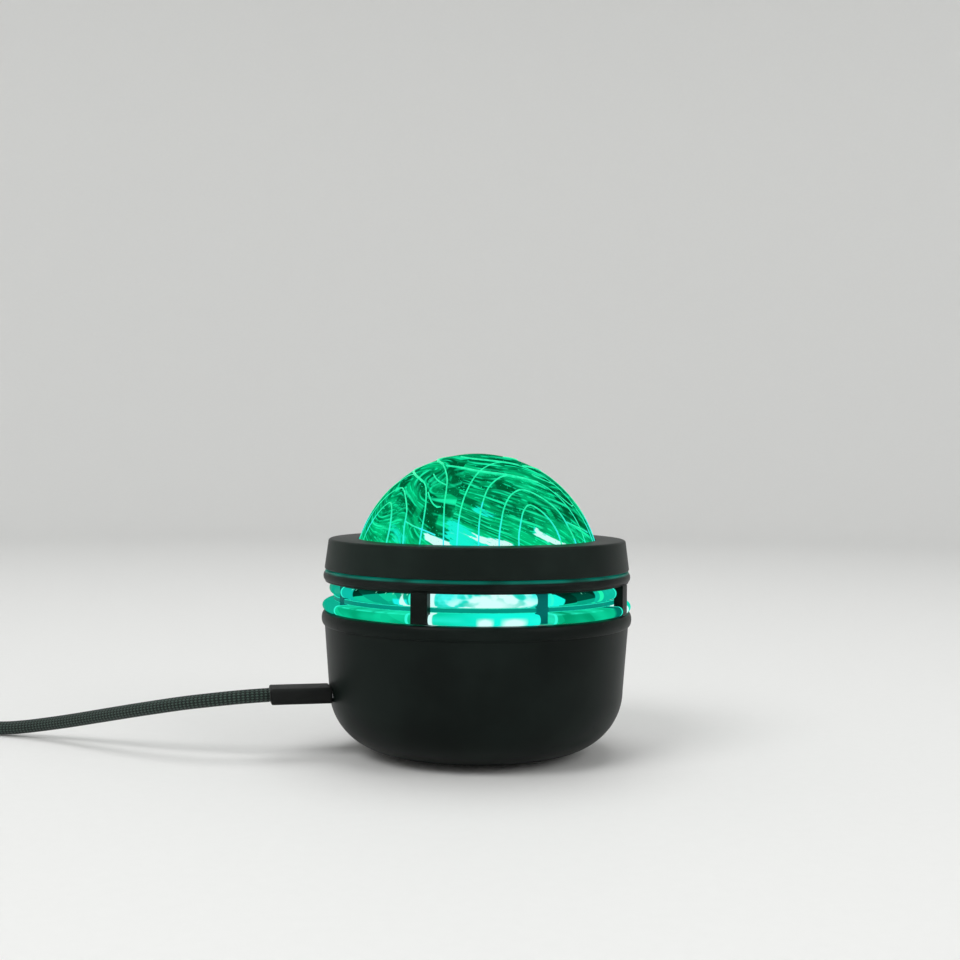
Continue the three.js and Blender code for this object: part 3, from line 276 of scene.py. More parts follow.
def metal(name, color, roughness, brushed=0.0):
    """Plated metal with fine drawn lines and slow tarnish."""
    finish = Finish(name)
    where = finish.place()
    lines = finish.noise(finish.stretched(where, 250, 2600, 2600), 1, 2)
    cloud = finish.noise(where, 160, 3)
    return finish.done(
        Base_Color=cloud.ramp(0.3, 0.75).mix(color, [c * 0.78 for c in color]),
        Metallic=1.0,
        Roughness=cloud * 0.12 + lines * brushed + roughness,
        Normal=finish.bump(lines, 0.004),
    )


def circuit(name, mask, copper):
    """Solder mask over faint tracks."""
    finish = Finish(name)
    where = finish.place()
    x, y, _ = finish.axes(where)
    rows, columns = [(axis * 420).sine().ramp(0.75, 0.9) for axis in (x, y)]
    chosen = finish.noise(where, 70, 0).ramp(0.48, 0.52)
    tracks = rows * chosen + columns * (1 - chosen)
    grain = finish.noise(where, 1200, 2)
    board = grain.mix(mask, [c * 0.8 for c in mask])
    return finish.done(
        Base_Color=tracks.clamped().mix(board, copper),
        Roughness=grain * 0.2 + 0.3,
        Normal=finish.bump(tracks, 0.03),
    )


# The dome's moulded sectors. Each quarter has a nest of arches, streaks that fall to the right and
# two swirls, and the quarters meet between two arch legs. A swirl has an azimuth from its quarter's
# middle, an elevation, a reach in degrees and a twist in radians.
FIRST_SECTOR_EDGE = -14
SECTOR = 90
STREAK_TURN = 31
STREAK_SLOPE = 0.62
STREAK_FLATTENING = 0.5
SWIRLS = [(20, 57, 10, 2.0), (4, 34, 12, -0.9)]
DOME_LOW, DOME_HIGH = span("dome_shell")
DOME_LEVEL = DOME_LOW.z
DOME_RADIUS = DOME_HIGH.x
LENS_RADIUS = span("wave_dome")[1].z - DOME_LEVEL

# Strokes along the streaks: distance apart, share that is lit, seed and length
FINE_STROKES = (0.95, 0.8, 2, 3.4)
BOLD_STROKES = (2.3, 0.35, 6, 10)

# Painted highlight patches on the dome, reflections of the LEDs: azimuth, elevation, half length
# and half height, in degrees, and strength. They fall to the right by the slope.
PATCH_SLOPE = 0.4
PAINTED_HIGHLIGHT_PATCHES = [
    (-20.5, 20.6, 8.5, 2.3, 1.0),
    (2, 18.5, 19, 7.4, 0.45),
    (7.5, 21.3, 9.5, 2.2, 0.7),
    (43.5, 21.9, 12.5, 2.1, 1.0),
    (3.4, 37.2, 6, 1.8, 0.4),
    (-47, 24, 9, 3, 0.16),
    (112, 21, 14, 2.6, 0.7),
    (160, 23, 15, 2.8, 0.85),
    (-115, 21, 14, 2.6, 0.7),
    (-160, 23, 15, 2.8, 0.85),
]

# Dark patches, in the same way, with azimuths from a quarter's edge
DARK_PATCHES = [
    (86, 58, 12, 4.2, 1.0),
    (-4, 58, 12, 4.2, 1.0),
    (38, 51.5, 9, 4, 1.0),
    (74, 35, 7, 6, 1.0),
    (77, 42, 8, 3.2, 0.8),
    (7, 44.5, 12, 2.4, 0.9),
    (84, 51, 10, 2.6, 0.8),
    (66, 47, 9, 2.6, 0.9),
    (83, 25, 8, 3, 0.8),
    (58, 38, 5, 3, 0.8),
    (84, 38, 5, 3, 0.8),
    (28, 61, 10, 2.4, 0.8),
    (34, 40, 5, 4, 0.6),
    (44, 33.5, 5, 2.5, 0.6),
    (54, 39.5, 5, 3.4, 0.7),
    (26, 47.5, 6, 3, 0.6),
]


def dome_angles(finish):
    """Azimuth and elevation on the dome, in degrees, as shader values."""
    x, y, z = finish.axes(finish.place())
    flat = (x * x + y * y).math("SQRT")
    return finish.azimuth(), (z - DOME_LEVEL * MM).math("ARCTAN2", flat) / DEGREE


def patch_mask(azimuth, elevation, patches):
    """Strength of the slanted patches."""
    total = 0
    for at, high, length, height, strength in patches:
        across = azimuth - at
        rise = elevation - high + across * PATCH_SLOPE
        inside = abs(across / length).ramp(1.06, 0.8) * abs(rise / height).ramp(1.2, 0.75)
        total = inside * strength + total
    return total


def streak_field(azimuth, elevation, radius):
    """Coordinates across and along the brush-like streaks, in millimetres, and the sector's number.
    The streaks fall to the right, and lie flatter towards the top."""
    turned = (azimuth - FIRST_SECTOR_EDGE) / SECTOR
    sector = turned.math("FLOOR")
    local = (turned - sector) * SECTOR - SECTOR / 2
    strong = abs(sector.math("MODULO", 2)) * 0.85 + 0.15
    for at, high, reach, twist in SWIRLS:
        squash = math.cos(high * DEGREE)
        across = (local - at) * squash
        rise = elevation - high
        far = (across * across + rise * rise) / reach**2
        turn = (far * -1).math("EXPONENT") * strong * twist
        sine = turn.sine()
        cosine = turn.math("COSINE")
        local = (across * cosine - rise * sine) / squash + at
        elevation = across * sine + rise * cosine + high
    elevation = elevation * DEGREE
    level = elevation.sine()
    aside = elevation.math("COSINE") * ((local + STREAK_TURN) * DEGREE).sine()
    flow = level + aside * (STREAK_SLOPE - level * STREAK_FLATTENING)
    return flow * radius, (aside - level * PATCH_SLOPE) * radius, sector


def strands(finish, across, along, period, width, seed, length):
    """Thin lines across the flow, each broken into strokes."""
    wave = (across * (2 * math.pi / period)).sine()
    breaks = finish.field(across * (0.9 / period), along / length, seed, 1)
    return wave.ramp(1 - width, 1) * breaks.ramp(0.44, 0.6)


def wave_light(finish, azimuth, elevation, radius):
    """Colour of the lit waves: dark depths, fine brushed strokes and bolder ones. The second value
    is the brush grain."""
    across, along, sector = streak_field(azimuth, elevation, radius)
    sway = finish.field(across * 0.08, along * 0.04, sector * 3)
    across = across + sway * 2.6
    broad = finish.field(across * 0.26, along * 0.05, sector * 5)
    brush = finish.field(across * 1.3, along * 0.09, sector * 7, 3, 0.6)
    fine = strands(finish, across, along, *FINE_STROKES)
    bold = strands(finish, across, along, *BOLD_STROKES)
    rim = elevation.ramp(40, 14) * 0.35
    depth = broad.ramp(0.44, 0.6) * 0.45 + brush.ramp(0.4, 0.62) * 0.6 + rim
    color = depth.clamped().mix(DEEP_GREEN, LEAF_GREEN)
    color = (fine * (broad + 0.4)).clamped().mix(color, BRIGHT_GREEN)
    local = azimuth - sector * SECTOR - FIRST_SECTOR_EDGE
    dark = patch_mask(local, elevation, DARK_PATCHES) * (brush + 0.5) * (1 - fine * 0.5)
    color = dark.clamped().mix(color, DEEP_GREEN)
    return (bold * 0.9).mix(color, MINT), brush


def shell_material():
    """The outer dome: clear where the wave lens is behind it, with a painted glow along its outline,
    and flecked with dust specks, their catching of the light painted on as mint glints."""
    finish = Finish("dome_shell_lit")
    color, brush = wave_light(finish, *dome_angles(finish), DOME_RADIUS)
    # Dust specks, with their catching of the light painted on as mint glints.
    dust_glints = finish.noise(finish.place(), 1500, 1).ramp(0.7, 0.75)
    facing = finish.node("ShaderNodeLayerWeight", None, {"Blend": 0.5}, "Facing")
    # A painted glow along the outline, where the surface is seen edge-on.
    color = (facing.ramp(0.72, 1.0) * 0.6).mix(color, (0.001, 0.28, 0.12))
    return finish.lit(
        dust_glints.mix(color, MINT),
        Base_Color=(0.0, 0.02, 0.012),
        Roughness=brush * 0.1 + 0.04,
        Specular_IOR_Level=0.0,
        Alpha=(dust_glints * 0.7 + facing.ramp(0.42, 0.58) + 0.03).clamped(),
    )


def lens_material():
    """The lit wave lens, with painted highlights of the LEDs in patches whose edges are torn along
    the brush.
    """
    finish = Finish("wave_lens_lit")
    azimuth, elevation = dome_angles(finish)
    color, brush = wave_light(finish, azimuth, elevation, LENS_RADIUS)
    torn = brush - 0.5
    highlight_mask = patch_mask(azimuth + torn * 16, elevation + torn * 5, PAINTED_HIGHLIGHT_PATCHES)
    highlight_mask = highlight_mask + torn * highlight_mask.ramp(0, 0.25) * 1.3
    # Painted highlights, the LEDs' reflections: cyan, and white in their cores.
    color = highlight_mask.ramp(0.05, 0.35).mix(color, CYAN)
    return finish.lit(
        highlight_mask.ramp(0.55, 0.85).mix(color, HOT_WHITE),
        Base_Color=(0.0, 0.02, 0.012),
        Roughness=0.35,
        Specular_IOR_Level=0.0,
        Normal=finish.bump(brush, 0.4),
    )


def arch_material():
    """The raised arch lines, mint, with painted cyan light beside the painted highlight patches."""
    finish = Finish("arch_line_lit")
    where = finish.place()
    azimuth, elevation = dome_angles(finish)
    # Where the painted highlight patches lie, the lines get painted cyan light.
    highlight_mask = patch_mask(azimuth, elevation, PAINTED_HIGHLIGHT_PATCHES)
    low = elevation.ramp(36, 25) * finish.noise(where, 90, 1).ramp(0.35, 0.55)
    sparkle = finish.noise(where, 900, 2).ramp(0.3, 0.7)
    mint = sparkle.mix((0.008, 0.78, 0.34), (0.025, 0.98, 0.46))
    return finish.lit(
        (highlight_mask * 2.2 + low * 0.8).clamped().mix(mint, (0.03, 0.85, 0.88)),
        Base_Color=(0.0, 0.08, 0.05),
        Roughness=0.3,
        Specular_IOR_Level=0.06,
    )


def clear_material():
    """Clear acrylic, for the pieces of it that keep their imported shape."""
    finish = Finish("clear_acrylic")
    smear = finish.noise(finish.place(), 55, 3)
    return finish.done(
        Base_Color=(0.3, 0.8, 0.6), Roughness=smear * 0.06 + 0.03, Alpha=smear * 0.1 + 0.2
    )


# Windows: azimuths of the cage's wide legs and of the divider's uprights between them, how far the
# bright part goes right of each leg, and where it is dim at the far left
LEG_AZIMUTHS = (-20, 70, 160, 250)
LEG_STEP = 90
UPRIGHT_AZIMUTHS = (25, 115, 205, 295)
BRIGHT_SPAN = 45
NOSE_AZIMUTH = -88
NOSE_SPAN = 24

# Shares of a height: the hoop's level in the windows, and the foot and height of the upper lobe in
# the light ring
HOOP_SHARE = 0.47
LOBE_FOOT = 0.593
LOBE_RISE = 0.407


def lower_lobe(local, level, odd, soft, blots, facet):
    """The green lower lobe: cloudy, a painted highlight along its top, a painted shadow by every
    other leg.
    """
    color = soft.ramp(0.35, 0.65).mix((0.0, 0.3, 0.13), (0.003, 0.56, 0.28))
    color = (facet * 0.5).mix(color, (0.006, 0.82, 0.42))
    # A painted shadow of the leg, beside every other one.
    leg_shadow = local.ramp(78, 81) * (1 - odd)
    color = leg_shadow.mix(color, (0.0, 0.15, 0.11))
    # A painted highlight along the lobe's top.
    crest_highlight = level.near(0.325, 0.03).clamped() * blots.ramp(0.35, 0.6)
    return (crest_highlight * (1 - leg_shadow)).mix(color, (0.02, 0.9, 0.56))


def upper_lobe(finish, local, rise, length, odd, blots, facet, glass):
    """The green upper lobe: dark glass, with lit forms laid over it in turn, painted highlights and
    shade among them.
    """
    even = 1 - odd
    color = facet.ramp(0.3, 0.7).mix((0.0, 0.012, 0.006), (0.0, 0.05, 0.03))
    slope = (local - 57) * (odd * 0.013 + 0.018) + odd * 0.14 + facet * 0.12 + 0.14
    first_edge = (odd * 3.7 + 53.7 - local).ramp(-0.3, 0.3)
    under_slant = ((local - 48) * -0.11 + odd + 1.15 - rise).ramp(-0.05, 0.05)
    pool = local.near(81.4, 3.5).ramp(0, 0.3) * rise.ramp(0.6, 0.4)
    painted_glint = ((1.12 - rise) * 1.6 - abs(local - 82.3)).ramp(0, 0.5)
    beads = finish.field(length * 1.1, 0, 7, 1).ramp(0.6, 0.68)
    clearer = glass.ramp(0.3, 0.7).mix((0.002, 0.36, 0.22), (0.004, 0.58, 0.32))
    forms = [
        # wedge of clearer glass, block and bar beside the leg
        ((slope - rise).ramp(-0.03, 0.03), clearer),
        (local.ramp(68.9, 69.5) * even, blots.mix((0.002, 0.36, 0.24), (0.006, 0.62, 0.42))),
        (local.near(73.5, 1.7).ramp(0, 0.35) * even, (0.015, 0.92, 0.45)),
        # painted highlights: the lit edge beside the upright, then the pool of light and the glint
        # beside the leg
        (first_edge * under_slant, odd.mix((0.008, 0.92, 0.72), (0.004, 0.5, 0.38))),
        (pool * odd, (0.01, 0.88, 0.8)),
        (painted_glint * odd, (0.6, 1.0, 0.92)),
        # painted glints, beads of light under the cage's dark edge, then painted shade along the top
        # under it
        (beads * rise.ramp(0.8, 0.9), (0.2, 0.9, 0.6)),
        (rise.ramp(0.92, 0.97), (0.0, 0.02, 0.012)),
    ]
    for share, tint in forms:
        color = share.mix(color, tint)
    return color


def bright_lobes(local, level, upper, soft, blots):
    """The bright lobes right of a wide leg: two white spots low, white-hot in the middle above."""
    low = local.ramp(3, 30).mix((0.003, 0.62, 0.38), (0.006, 0.92, 0.72))
    fall = level.near(0.17, 0.17).clamped()
    low = (soft.ramp(0.4, 0.7) * fall * 0.6).mix(low, (0.03, 1.0, 0.8))
    spots = local.near(23, 3.2).clamped() + local.near(33, 5).clamped()
    low = (spots * level.ramp(0.3, 0.1) * 2.2).clamped().mix(low, HOT_WHITE)
    high = blots.ramp(0.35, 0.6).mix((0.012, 0.66, 0.5), (0.06, 0.95, 0.86))
    heat = local.near(27, 17).clamped() * 1.7 + blots.ramp(0.4, 0.6)
    heat = heat - level.ramp(0.7, 0.95) * 0.6 - 0.5
    high = heat.clamped().mix(high, HOT_WHITE)
    return local.ramp(5.2, 4.6).mix(upper.mix(low, high), HOT_WHITE)


def band_material():
    """The lit ring behind the windows: white-hot right of each wide leg, green elsewhere. Local
    azimuths are from the leg at the left."""
    finish = Finish("window_band_lit")
    azimuth = finish.azimuth()
    _, _, z = finish.axes(finish.place())
    low, high = span("light_ring")
    level = (z / MM - low.z) / (high.z - low.z)
    turned = (azimuth - LEG_AZIMUTHS[0]) / LEG_STEP
    index = turned.math("FLOOR")
    odd = abs(index.math("MODULO", 2))
    local = (turned - index) * LEG_STEP
    length = azimuth * DEGREE * high.x
    soft = finish.field(length * 0.09, level * 1.3, 0, 1)
    blots = finish.field(length * 0.22, level * 2.6, 2)
    values = {"Vector": finish.vector(length * 0.13 + level * 1.2, level * 1.5, 0.5), "Scale": 1}
    facet, glass, _ = finish.axes(finish.node("ShaderNodeTexVoronoi", None, values, "Color"))
    upper = level.ramp(0.46, 0.48)
    rise = (level - LOBE_FOOT) / LOBE_RISE
    side = upper.mix(
        lower_lobe(local, level, odd, soft, blots, facet),
        upper_lobe(finish, local, rise, length, odd, blots, facet, glass),
    )
    ends = local.near(48.3, 0.8).ramp(0, 0.5) + local.near(85.5, 0.7).ramp(0, 0.5)
    side = ends.clamped().mix(side, (0.03, 0.95, 0.68))
    nose = abs((azimuth - NOSE_AZIMUTH) / NOSE_SPAN).ramp(1.0, 0.9) * 0.96
    dim = soft.mix((0.003, 0.3, 0.18), (0.006, 0.45, 0.3))
    core = nose.mix(bright_lobes(local, level, upper, soft, blots), dim)
    return finish.lit(
        local.ramp(BRIGHT_SPAN + 1, BRIGHT_SPAN - 1).mix(side, core),
        Base_Color=(0.0, 0.03, 0.02),
        Roughness=0.2,
        Specular_IOR_Level=0.0,
        Normal=finish.bump(blots, 0.2),
    )


def teal_material():
    """The dark teal divider, with the light from behind it painted on as a glow: its hoop more than
    its uprights, and painted highlights on the hoop's rims more than its middle."""
    finish = Finish("teal_divider")
    where = finish.place()
    x, y, z = finish.axes(where)
    azimuth = finish.azimuth()
    turned = (azimuth - UPRIGHT_AZIMUTHS[0]) / LEG_STEP + 0.5
    aside = abs(turned - turned.math("FLOOR") - 0.5) * LEG_STEP
    cloud = finish.noise(where, 90, 2)
    # The hoop's painted glow of the light behind it.
    hoop = cloud.mix((0.0, 0.15, 0.11), (0.0, 0.3, 0.21))
    low, high = span("divider_frame")
    middle = low.z + (high.z - low.z) * HOOP_SHARE
    rough = finish.field(azimuth * 0.7, z * 900, 0, 1)
    rim = abs(z / MM - middle) + rough * 0.16
    face = ((x * x + y * y).math("SQRT") / MM - high.x).ramp(-0.4, -0.25)
    # Painted highlights along the hoop's rims on its outer face.
    hoop = (rim.ramp(0.6, 0.68) * face).mix(hoop, (0.015, 0.8, 0.5))
    return finish.lit(
        aside.ramp(3.0, 2.2).mix(hoop, (0.0, 0.075, 0.068)),
        Base_Color=cloud.mix(TEAL, (0.001, 0.06, 0.055)),
        Roughness=cloud * 0.15 + 0.4,
        Specular_IOR_Level=0.02,
        Normal=finish.bump(finish.noise(where, 1500, 1), 0.01),
    )


def lamp_material():
    finish = Finish("lamp_lit")
    grain = finish.noise(finish.place(), 800, 2)
    return finish.lit(
        grain.mix((0.1, 1.0, 0.6), (0.7, 1.0, 0.95)),
        Base_Color=(0.8, 0.85, 0.8),
        Roughness=grain * 0.2 + 0.3,
    )


BRAID_CARRIERS = 16
BRAID_PITCH = 2.4


def braid_material():
    """Dark diamond braid. The mesh's own map runs once round the cord and counts the millimetres
    along it."""
    finish = Finish("cord_braid")
    around, along, _ = finish.axes(finish.place("UV"))
    half = BRAID_CARRIERS / 2
    one = ((around * half + along / BRAID_PITCH) * (2 * math.pi)).sine()
    other = ((around * half - along / BRAID_PITCH) * (2 * math.pi)).sine()
    over = (one * other).ramp(-0.25, 0.25)
    strand = abs(one) * over + abs(other) * (1 - over)
    gap = abs(one).math("MINIMUM", abs(other))
    fibre = finish.field(around * 90, along * 2.2, 0)
    wear = finish.field(around * 3, along * 0.02, 3, 3)
    dark = fibre.mix((0.006, 0.011, 0.009), (0.016, 0.026, 0.022))
    light = fibre.mix((0.05, 0.095, 0.075), (0.1, 0.16, 0.13))
    shade = (over * 0.6 + wear.ramp(0.5, 0.75) * 0.25).clamped().mix(dark, light)
    return finish.done(
        Base_Color=(gap.ramp(0.42, 0.12) * 0.95).mix(shade, (0.001, 0.002, 0.0015)),
        Roughness=fibre * 0.2 + 0.62,
        Sheen_Weight=0.08,
        Specular_IOR_Level=0.2,
        Normal=finish.bump(strand + fibre * 0.2, 0.22),
    )


def rubber_material():
    finish = Finish("foot_rubber")
    where = finish.place()
    dust = finish.noise(where, 420, 3)
    return finish.done(
        Base_Color=dust.ramp(0.5, 0.8).mix((0.014, 0.014, 0.015), (0.05, 0.05, 0.048)),
        Roughness=dust * 0.15 + 0.75,
        Specular_IOR_Level=0.3,
        Normal=finish.bump(finish.noise(where, 2200, 2), 0.05),
    )


def pale_material():
    finish = Finish("pale_floor")
    grain = finish.noise(finish.place(), 300, 2)
    return finish.done(
        Base_Color=grain.mix((0.8, 0.8, 0.79), (0.82, 0.82, 0.81)),
        Roughness=0.65,
        Specular_IOR_Level=0.2,
    )


FINISHES = {
    "housing_black": moulded("housing_black", BLACK, 0.4, 0.012),
    # The bezel's black is a lighter copy of the housing's plastic: painted light.
    "bezel_black_painted_lighter": moulded("bezel_black_painted_lighter", (0.006, 0.0105, 0.0085), 0.42, 0.012),
    "cage_black": cage_material(),
    "cover_black": moulded("cover_black", SOFT_BLACK, 0.6, 0.03),
    "foot_rubber": rubber_material(),
    "circuit_board": circuit("circuit_board", (0.006, 0.085, 0.03), (0.03, 0.2, 0.06)),
    "lamp_board": circuit("lamp_board", (0.78, 0.8, 0.79), (0.6, 0.62, 0.58)),
    "plated_steel": metal("plated_steel", (0.62, 0.63, 0.66), 0.2),
    "screw_steel": metal("screw_steel", (0.42, 0.43, 0.45), 0.28, 0.1),
    "chassis_grey": moulded("chassis_grey", (0.028, 0.031, 0.033), 0.55, 0.03),
    "tray_gloss": moulded("tray_gloss", (0.72, 0.78, 0.75), 0.2, 0.004, 0.3),
    "clear_acrylic": clear_material(),
    "dome_shell": shell_material(),
    "wave_lens": lens_material(),
    "arch_line": arch_material(),
    "window_band": band_material(),
    "teal_divider": teal_material(),
    "lamp_lens": lamp_material(),
    "braid_dark": braid_material(),
    "plug_black": moulded("plug_black", (0.0085, 0.0095, 0.009), 0.5, 0.035),
    "switch_black": moulded("switch_black", (0.02, 0.022, 0.024), 0.5, 0.01),
    "pale_floor": pale_material(),
}


# Building pieces

ROUND = 192
CORNER_STEPS = 6
EDGE_STEPS = 4
SOFTENING_STEPS = 3
BLUNT_ANGLE = math.radians(150)
SHARP_ANGLE = math.radians(32)
FINE_STEP = 0.3
ON_AXIS = 1e-6


def turn(azimuth):
    """The rotation about Z that brings +X to an azimuth, in radians."""
    return math.radians(azimuth - 90)


def half_angle(width, radius):
    """Half the angle, in degrees, that a width takes up round a circle."""
    return math.degrees(width / 2 / radius)


def arc(centre_radius, centre_level, across, up, start, end, steps=12):
    """Points on an elliptical arc, its angles in degrees from outwards towards up."""
    points = []
    for i in range(steps + 1):
        angle = math.radians(start + (end - start) * i / steps)
        radius = centre_radius + across * math.cos(angle)
        points.append((radius, centre_level + up * math.sin(angle)))
    return points


def rectangle(inner, outer, low, high):
    return [(inner, low), (outer, low), (outer, high), (inner, high)]


def softened(outline, radius):
    """A closed outline with its sharp corners rounded."""
    points = [Vector(p) for p in outline]
    made = []
    for i, point in enumerate(points):
        before = points[i - 1] - point
        after = points[(i + 1) % len(points)] - point
        angle = before.angle(after)
        if angle > BLUNT_ANGLE or point.x == 0:
            made.append(point)
            continue
        cut_back = min(radius / math.tan(angle / 2), before.length * 0.45, after.length * 0.45)
        start = point + before.normalized() * cut_back
        end = point + after.normalized() * cut_back
        for j in range(SOFTENING_STEPS + 1):
            share = j / SOFTENING_STEPS
            rest = 1 - share
            made.append(start * rest**2 + point * 2 * share * rest + end * share**2)
    return made


def meshed(name, shape):
    """A mesh in metres from a bmesh in millimetres, its faces turned outwards."""
    mesh = bpy.data.meshes.new(name)
    bmesh.ops.recalc_face_normals(shape, faces=shape.faces)
    bmesh.ops.scale(shape, vec=(MM, MM, MM), verts=shape.verts)
    shape.to_mesh(mesh)
    shape.free()
    return mesh


def evaluated_mesh(made):
    """A copy of an object's mesh with its modifiers applied."""
    graph = bpy.context.evaluated_depsgraph_get()
    return bpy.data.meshes.new_from_object(made.evaluated_get(graph))


def dressed(name, mesh, finish):
    """An object with one finish, smooth but for its sharp edges."""
    mesh.materials.clear()
    mesh.materials.append(FINISHES[finish])
    mesh.polygons.foreach_set("use_smooth", [True] * len(mesh.polygons))
    mesh.set_sharp_from_angle(angle=SHARP_ANGLE)
    return linked(name, mesh)


def settle(made, body, nodes):
    """Has an object ride on its body, and stand for its nodes."""
    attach(made, body)
    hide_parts(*nodes)
    return made


def finished(name, shape, body, slot, nodes, finish=None):
    """A piece from a bmesh in millimetres. Its finish is its slot's unless another is named."""
    return settle(dressed(name, meshed(name, shape), finish or slot), body, nodes)


def revolve(shape, outline, start=0, end=360):
    """Adds a closed outline of radii and levels turned about Z, whole or between two azimuths."""
    whole = end - start >= 360
    count = ROUND if whole else max(2, round(ROUND * (end - start) / 360))
    rings = []
    poles = {}
    for i in range(count if whole else count + 1):
        angle = turn(start + (end - start) * i / count)
        ring = []
        for k, (radius, level) in enumerate(outline):
            if radius < ON_AXIS:
                if k not in poles:
                    poles[k] = shape.verts.new((0, 0, level))
                ring.append(poles[k])
            else:
                x = radius * math.cos(angle)
                ring.append(shape.verts.new((x, radius * math.sin(angle), level)))
        rings.append(ring)
    size = len(outline)
    for i in range(count):
        here = rings[i]
        there = rings[(i + 1) % len(rings)]
        for k in range(size):
            corners = [here[k], here[(k + 1) % size], there[(k + 1) % size], there[k]]
            unique = list(dict.fromkeys(corners))
            if len(unique) > 2:
                shape.faces.new(unique)
    if not whole:
        shape.faces.new(rings[0])
        shape.faces.new(reversed(rings[-1]))


def rounded_section(width, height, corner):
    """Points round a rounded rectangle across Y and Z."""
    points = []
    for sign_y, sign_z, start in ((1, 1, 0), (-1, 1, 90), (-1, -1, 180), (1, -1, 270)):
        for i in range(CORNER_STEPS + 1):
            angle = math.radians(start + 90 * i / CORNER_STEPS)
            y = sign_y * (width / 2 - corner) + corner * math.cos(angle)
            z = sign_z * (height / 2 - corner) + corner * math.sin(angle)
            points.append((y, z))
    return points


def bridged(shape, rings):
    """Joins closed rings in turn and returns the faces, with the two numbers of each."""
    faces = []
    for i, (here, there) in enumerate(zip(rings, rings[1:])):
        for k in range(len(here)):
            after = (k + 1) % len(here)
            faces.append((shape.faces.new((here[k], here[after], there[after], there[k])), i, k))
    return faces


def capped(shape, rings):
    """Closes a run of rings at both ends."""
    shape.faces.new(rings[0])
    shape.faces.new(reversed(rings[-1]))


def bar(shape, stations, place):
    """Adds a closed bar along X. A station is a distance, a width, a height and a corner radius."""
    rings = []
    for x, *size in stations:
        points = [place @ Vector((x, y, z)) for y, z in rounded_section(*size)]
        rings.append([shape.verts.new(point) for point in points])
    bridged(shape, rings)
    capped(shape, rings)


def edged(start, end, width, height, corner, edge):
    """Stations of a bar whose two ends are rounded over."""
    stations = []
    for side in (0, 1):
        for i in range(EDGE_STEPS + 1):
            share = i / EDGE_STEPS if side == 0 else 1 - i / EDGE_STEPS
            angle = share * math.pi / 2
            inset = edge * (1 - math.sin(angle))
            along = edge * (1 - math.cos(angle))
            x = start + along if side == 0 else end - along
            size = (width - 2 * inset, height - 2 * inset, max(corner - inset, edge * 0.1))
            stations.append((x, *size))
    return stations


def placed(azimuth, level):
    """From a piece's own X axis to an azimuth and level."""
    return Matrix.Translation((0, 0, level)) @ Matrix.Rotation(turn(azimuth), 4, "Z")


def cut(made, cutter):
    """Cuts a closed shape, given as a bmesh in millimetres, out of an object."""
    tool = linked("cutter", meshed("cutter", cutter))
    modifier = made.modifiers.new("cut", "BOOLEAN")
    modifier.operation = "DIFFERENCE"
    modifier.solver = "EXACT"
    modifier.object = tool
    result = evaluated_mesh(made)
    made.modifiers.remove(modifier)
    used = (made.data, tool.data)
    made.data = result
    bpy.data.objects.remove(tool)
    for mesh in used:
        bpy.data.meshes.remove(mesh)
    made.data.set_sharp_from_angle(angle=SHARP_ANGLE)


def smooth_route(points, step):
    """Points an even step apart along a smooth curve through the given ones, and its length."""
    ends = [2 * points[0] - points[1], *points, 2 * points[-1] - points[-2]]
    fine = []
    for a, b, c, d in zip(ends, ends[1:], ends[2:], ends[3:]):
        count = max(2, math.ceil((c - b).length / FINE_STEP))
        square = 2 * a - 5 * b + 4 * c - d
        cube = 3 * b - a - 3 * c + d
        for i in range(count):
            t = i / count
            fine.append(0.5 * (2 * b + (c - a) * t + square * t**2 + cube * t**3))
    fine.append(points[-1])
    lengths = [0]
    for a, b in zip(fine, fine[1:]):
        lengths.append(lengths[-1] + (b - a).length)
    count = round(lengths[-1] / step)
    made = []
    at = 0
    for i in range(count + 1):
        want = lengths[-1] * i / count
        while at < len(fine) - 2 and lengths[at + 1] < want:
            at += 1
        share = (want - lengths[at]) / (lengths[at + 1] - lengths[at])
        made.append(fine[at].lerp(fine[at + 1], min(share, 1)))
    return made, lengths[-1]


# Base cup
SEAT_GAP = 0.3
WALL = 2
LIP_BULGE = 0.9
LIP_HEIGHT = 3.9
WALL_TAPER = 1.4
COVER_MARGIN = 1
LEDGE_WIDTH = 3.4
COVER_THICKNESS = 2
CUP_LOW, CUP_HIGH = span("lower_housing")
COVER_RADIUS = span("base_cover")[1].x
WALL_TOP_RADIUS = CUP_HIGH.x - LIP_BULGE
WALL_TOP = CUP_HIGH.z - LIP_HEIGHT
WAIST_RADIUS = WALL_TOP_RADIUS - WALL_TAPER
CORNER = WAIST_RADIUS - COVER_RADIUS - COVER_MARGIN
FLOOR_LEVEL = CUP_LOW.z
WAIST_LEVEL = FLOOR_LEVEL + CORNER
LIP_TOP = CUP_HIGH.z
LIP_INNER = WALL_TOP_RADIUS - WALL
CUTTER_REACH = 1

SOCKET_AZIMUTH = -77
SOCKET_LOW, SOCKET_HIGH = span("usb_socket_shell")
SOCKET_LEVEL = (SOCKET_LOW.z + SOCKET_HIGH.z) / 2
SOCKET_WIDTH = 9
SOCKET_HEIGHT = SOCKET_HIGH.z - SOCKET_LOW.z
BUTTON_AZIMUTH = 180
BUTTON_LOW, BUTTON_HIGH = span("mode_button")
BUTTON_LEVEL = (BUTTON_LOW.z + BUTTON_HIGH.z) / 2
BUTTON_WIDTH = 10
BUTTON_HEIGHT = 5
BUTTON_CORNER = 2.3
BUTTON_EDGE = 0.6
FLANGE_MARGIN = 1
FLANGE_THICKNESS = 1.2


def wall_hole(made, width, height, corner, azimuth, level):
    """Cuts a rounded hole through the cup's wall."""
    hole = bmesh.new()
    ends = (WAIST_RADIUS - CORNER / 2, WALL_TOP_RADIUS + CUTTER_REACH)
    bar(hole, [(end, width, height, corner) for end in ends], placed(azimuth, level))
    cut(made, hole)


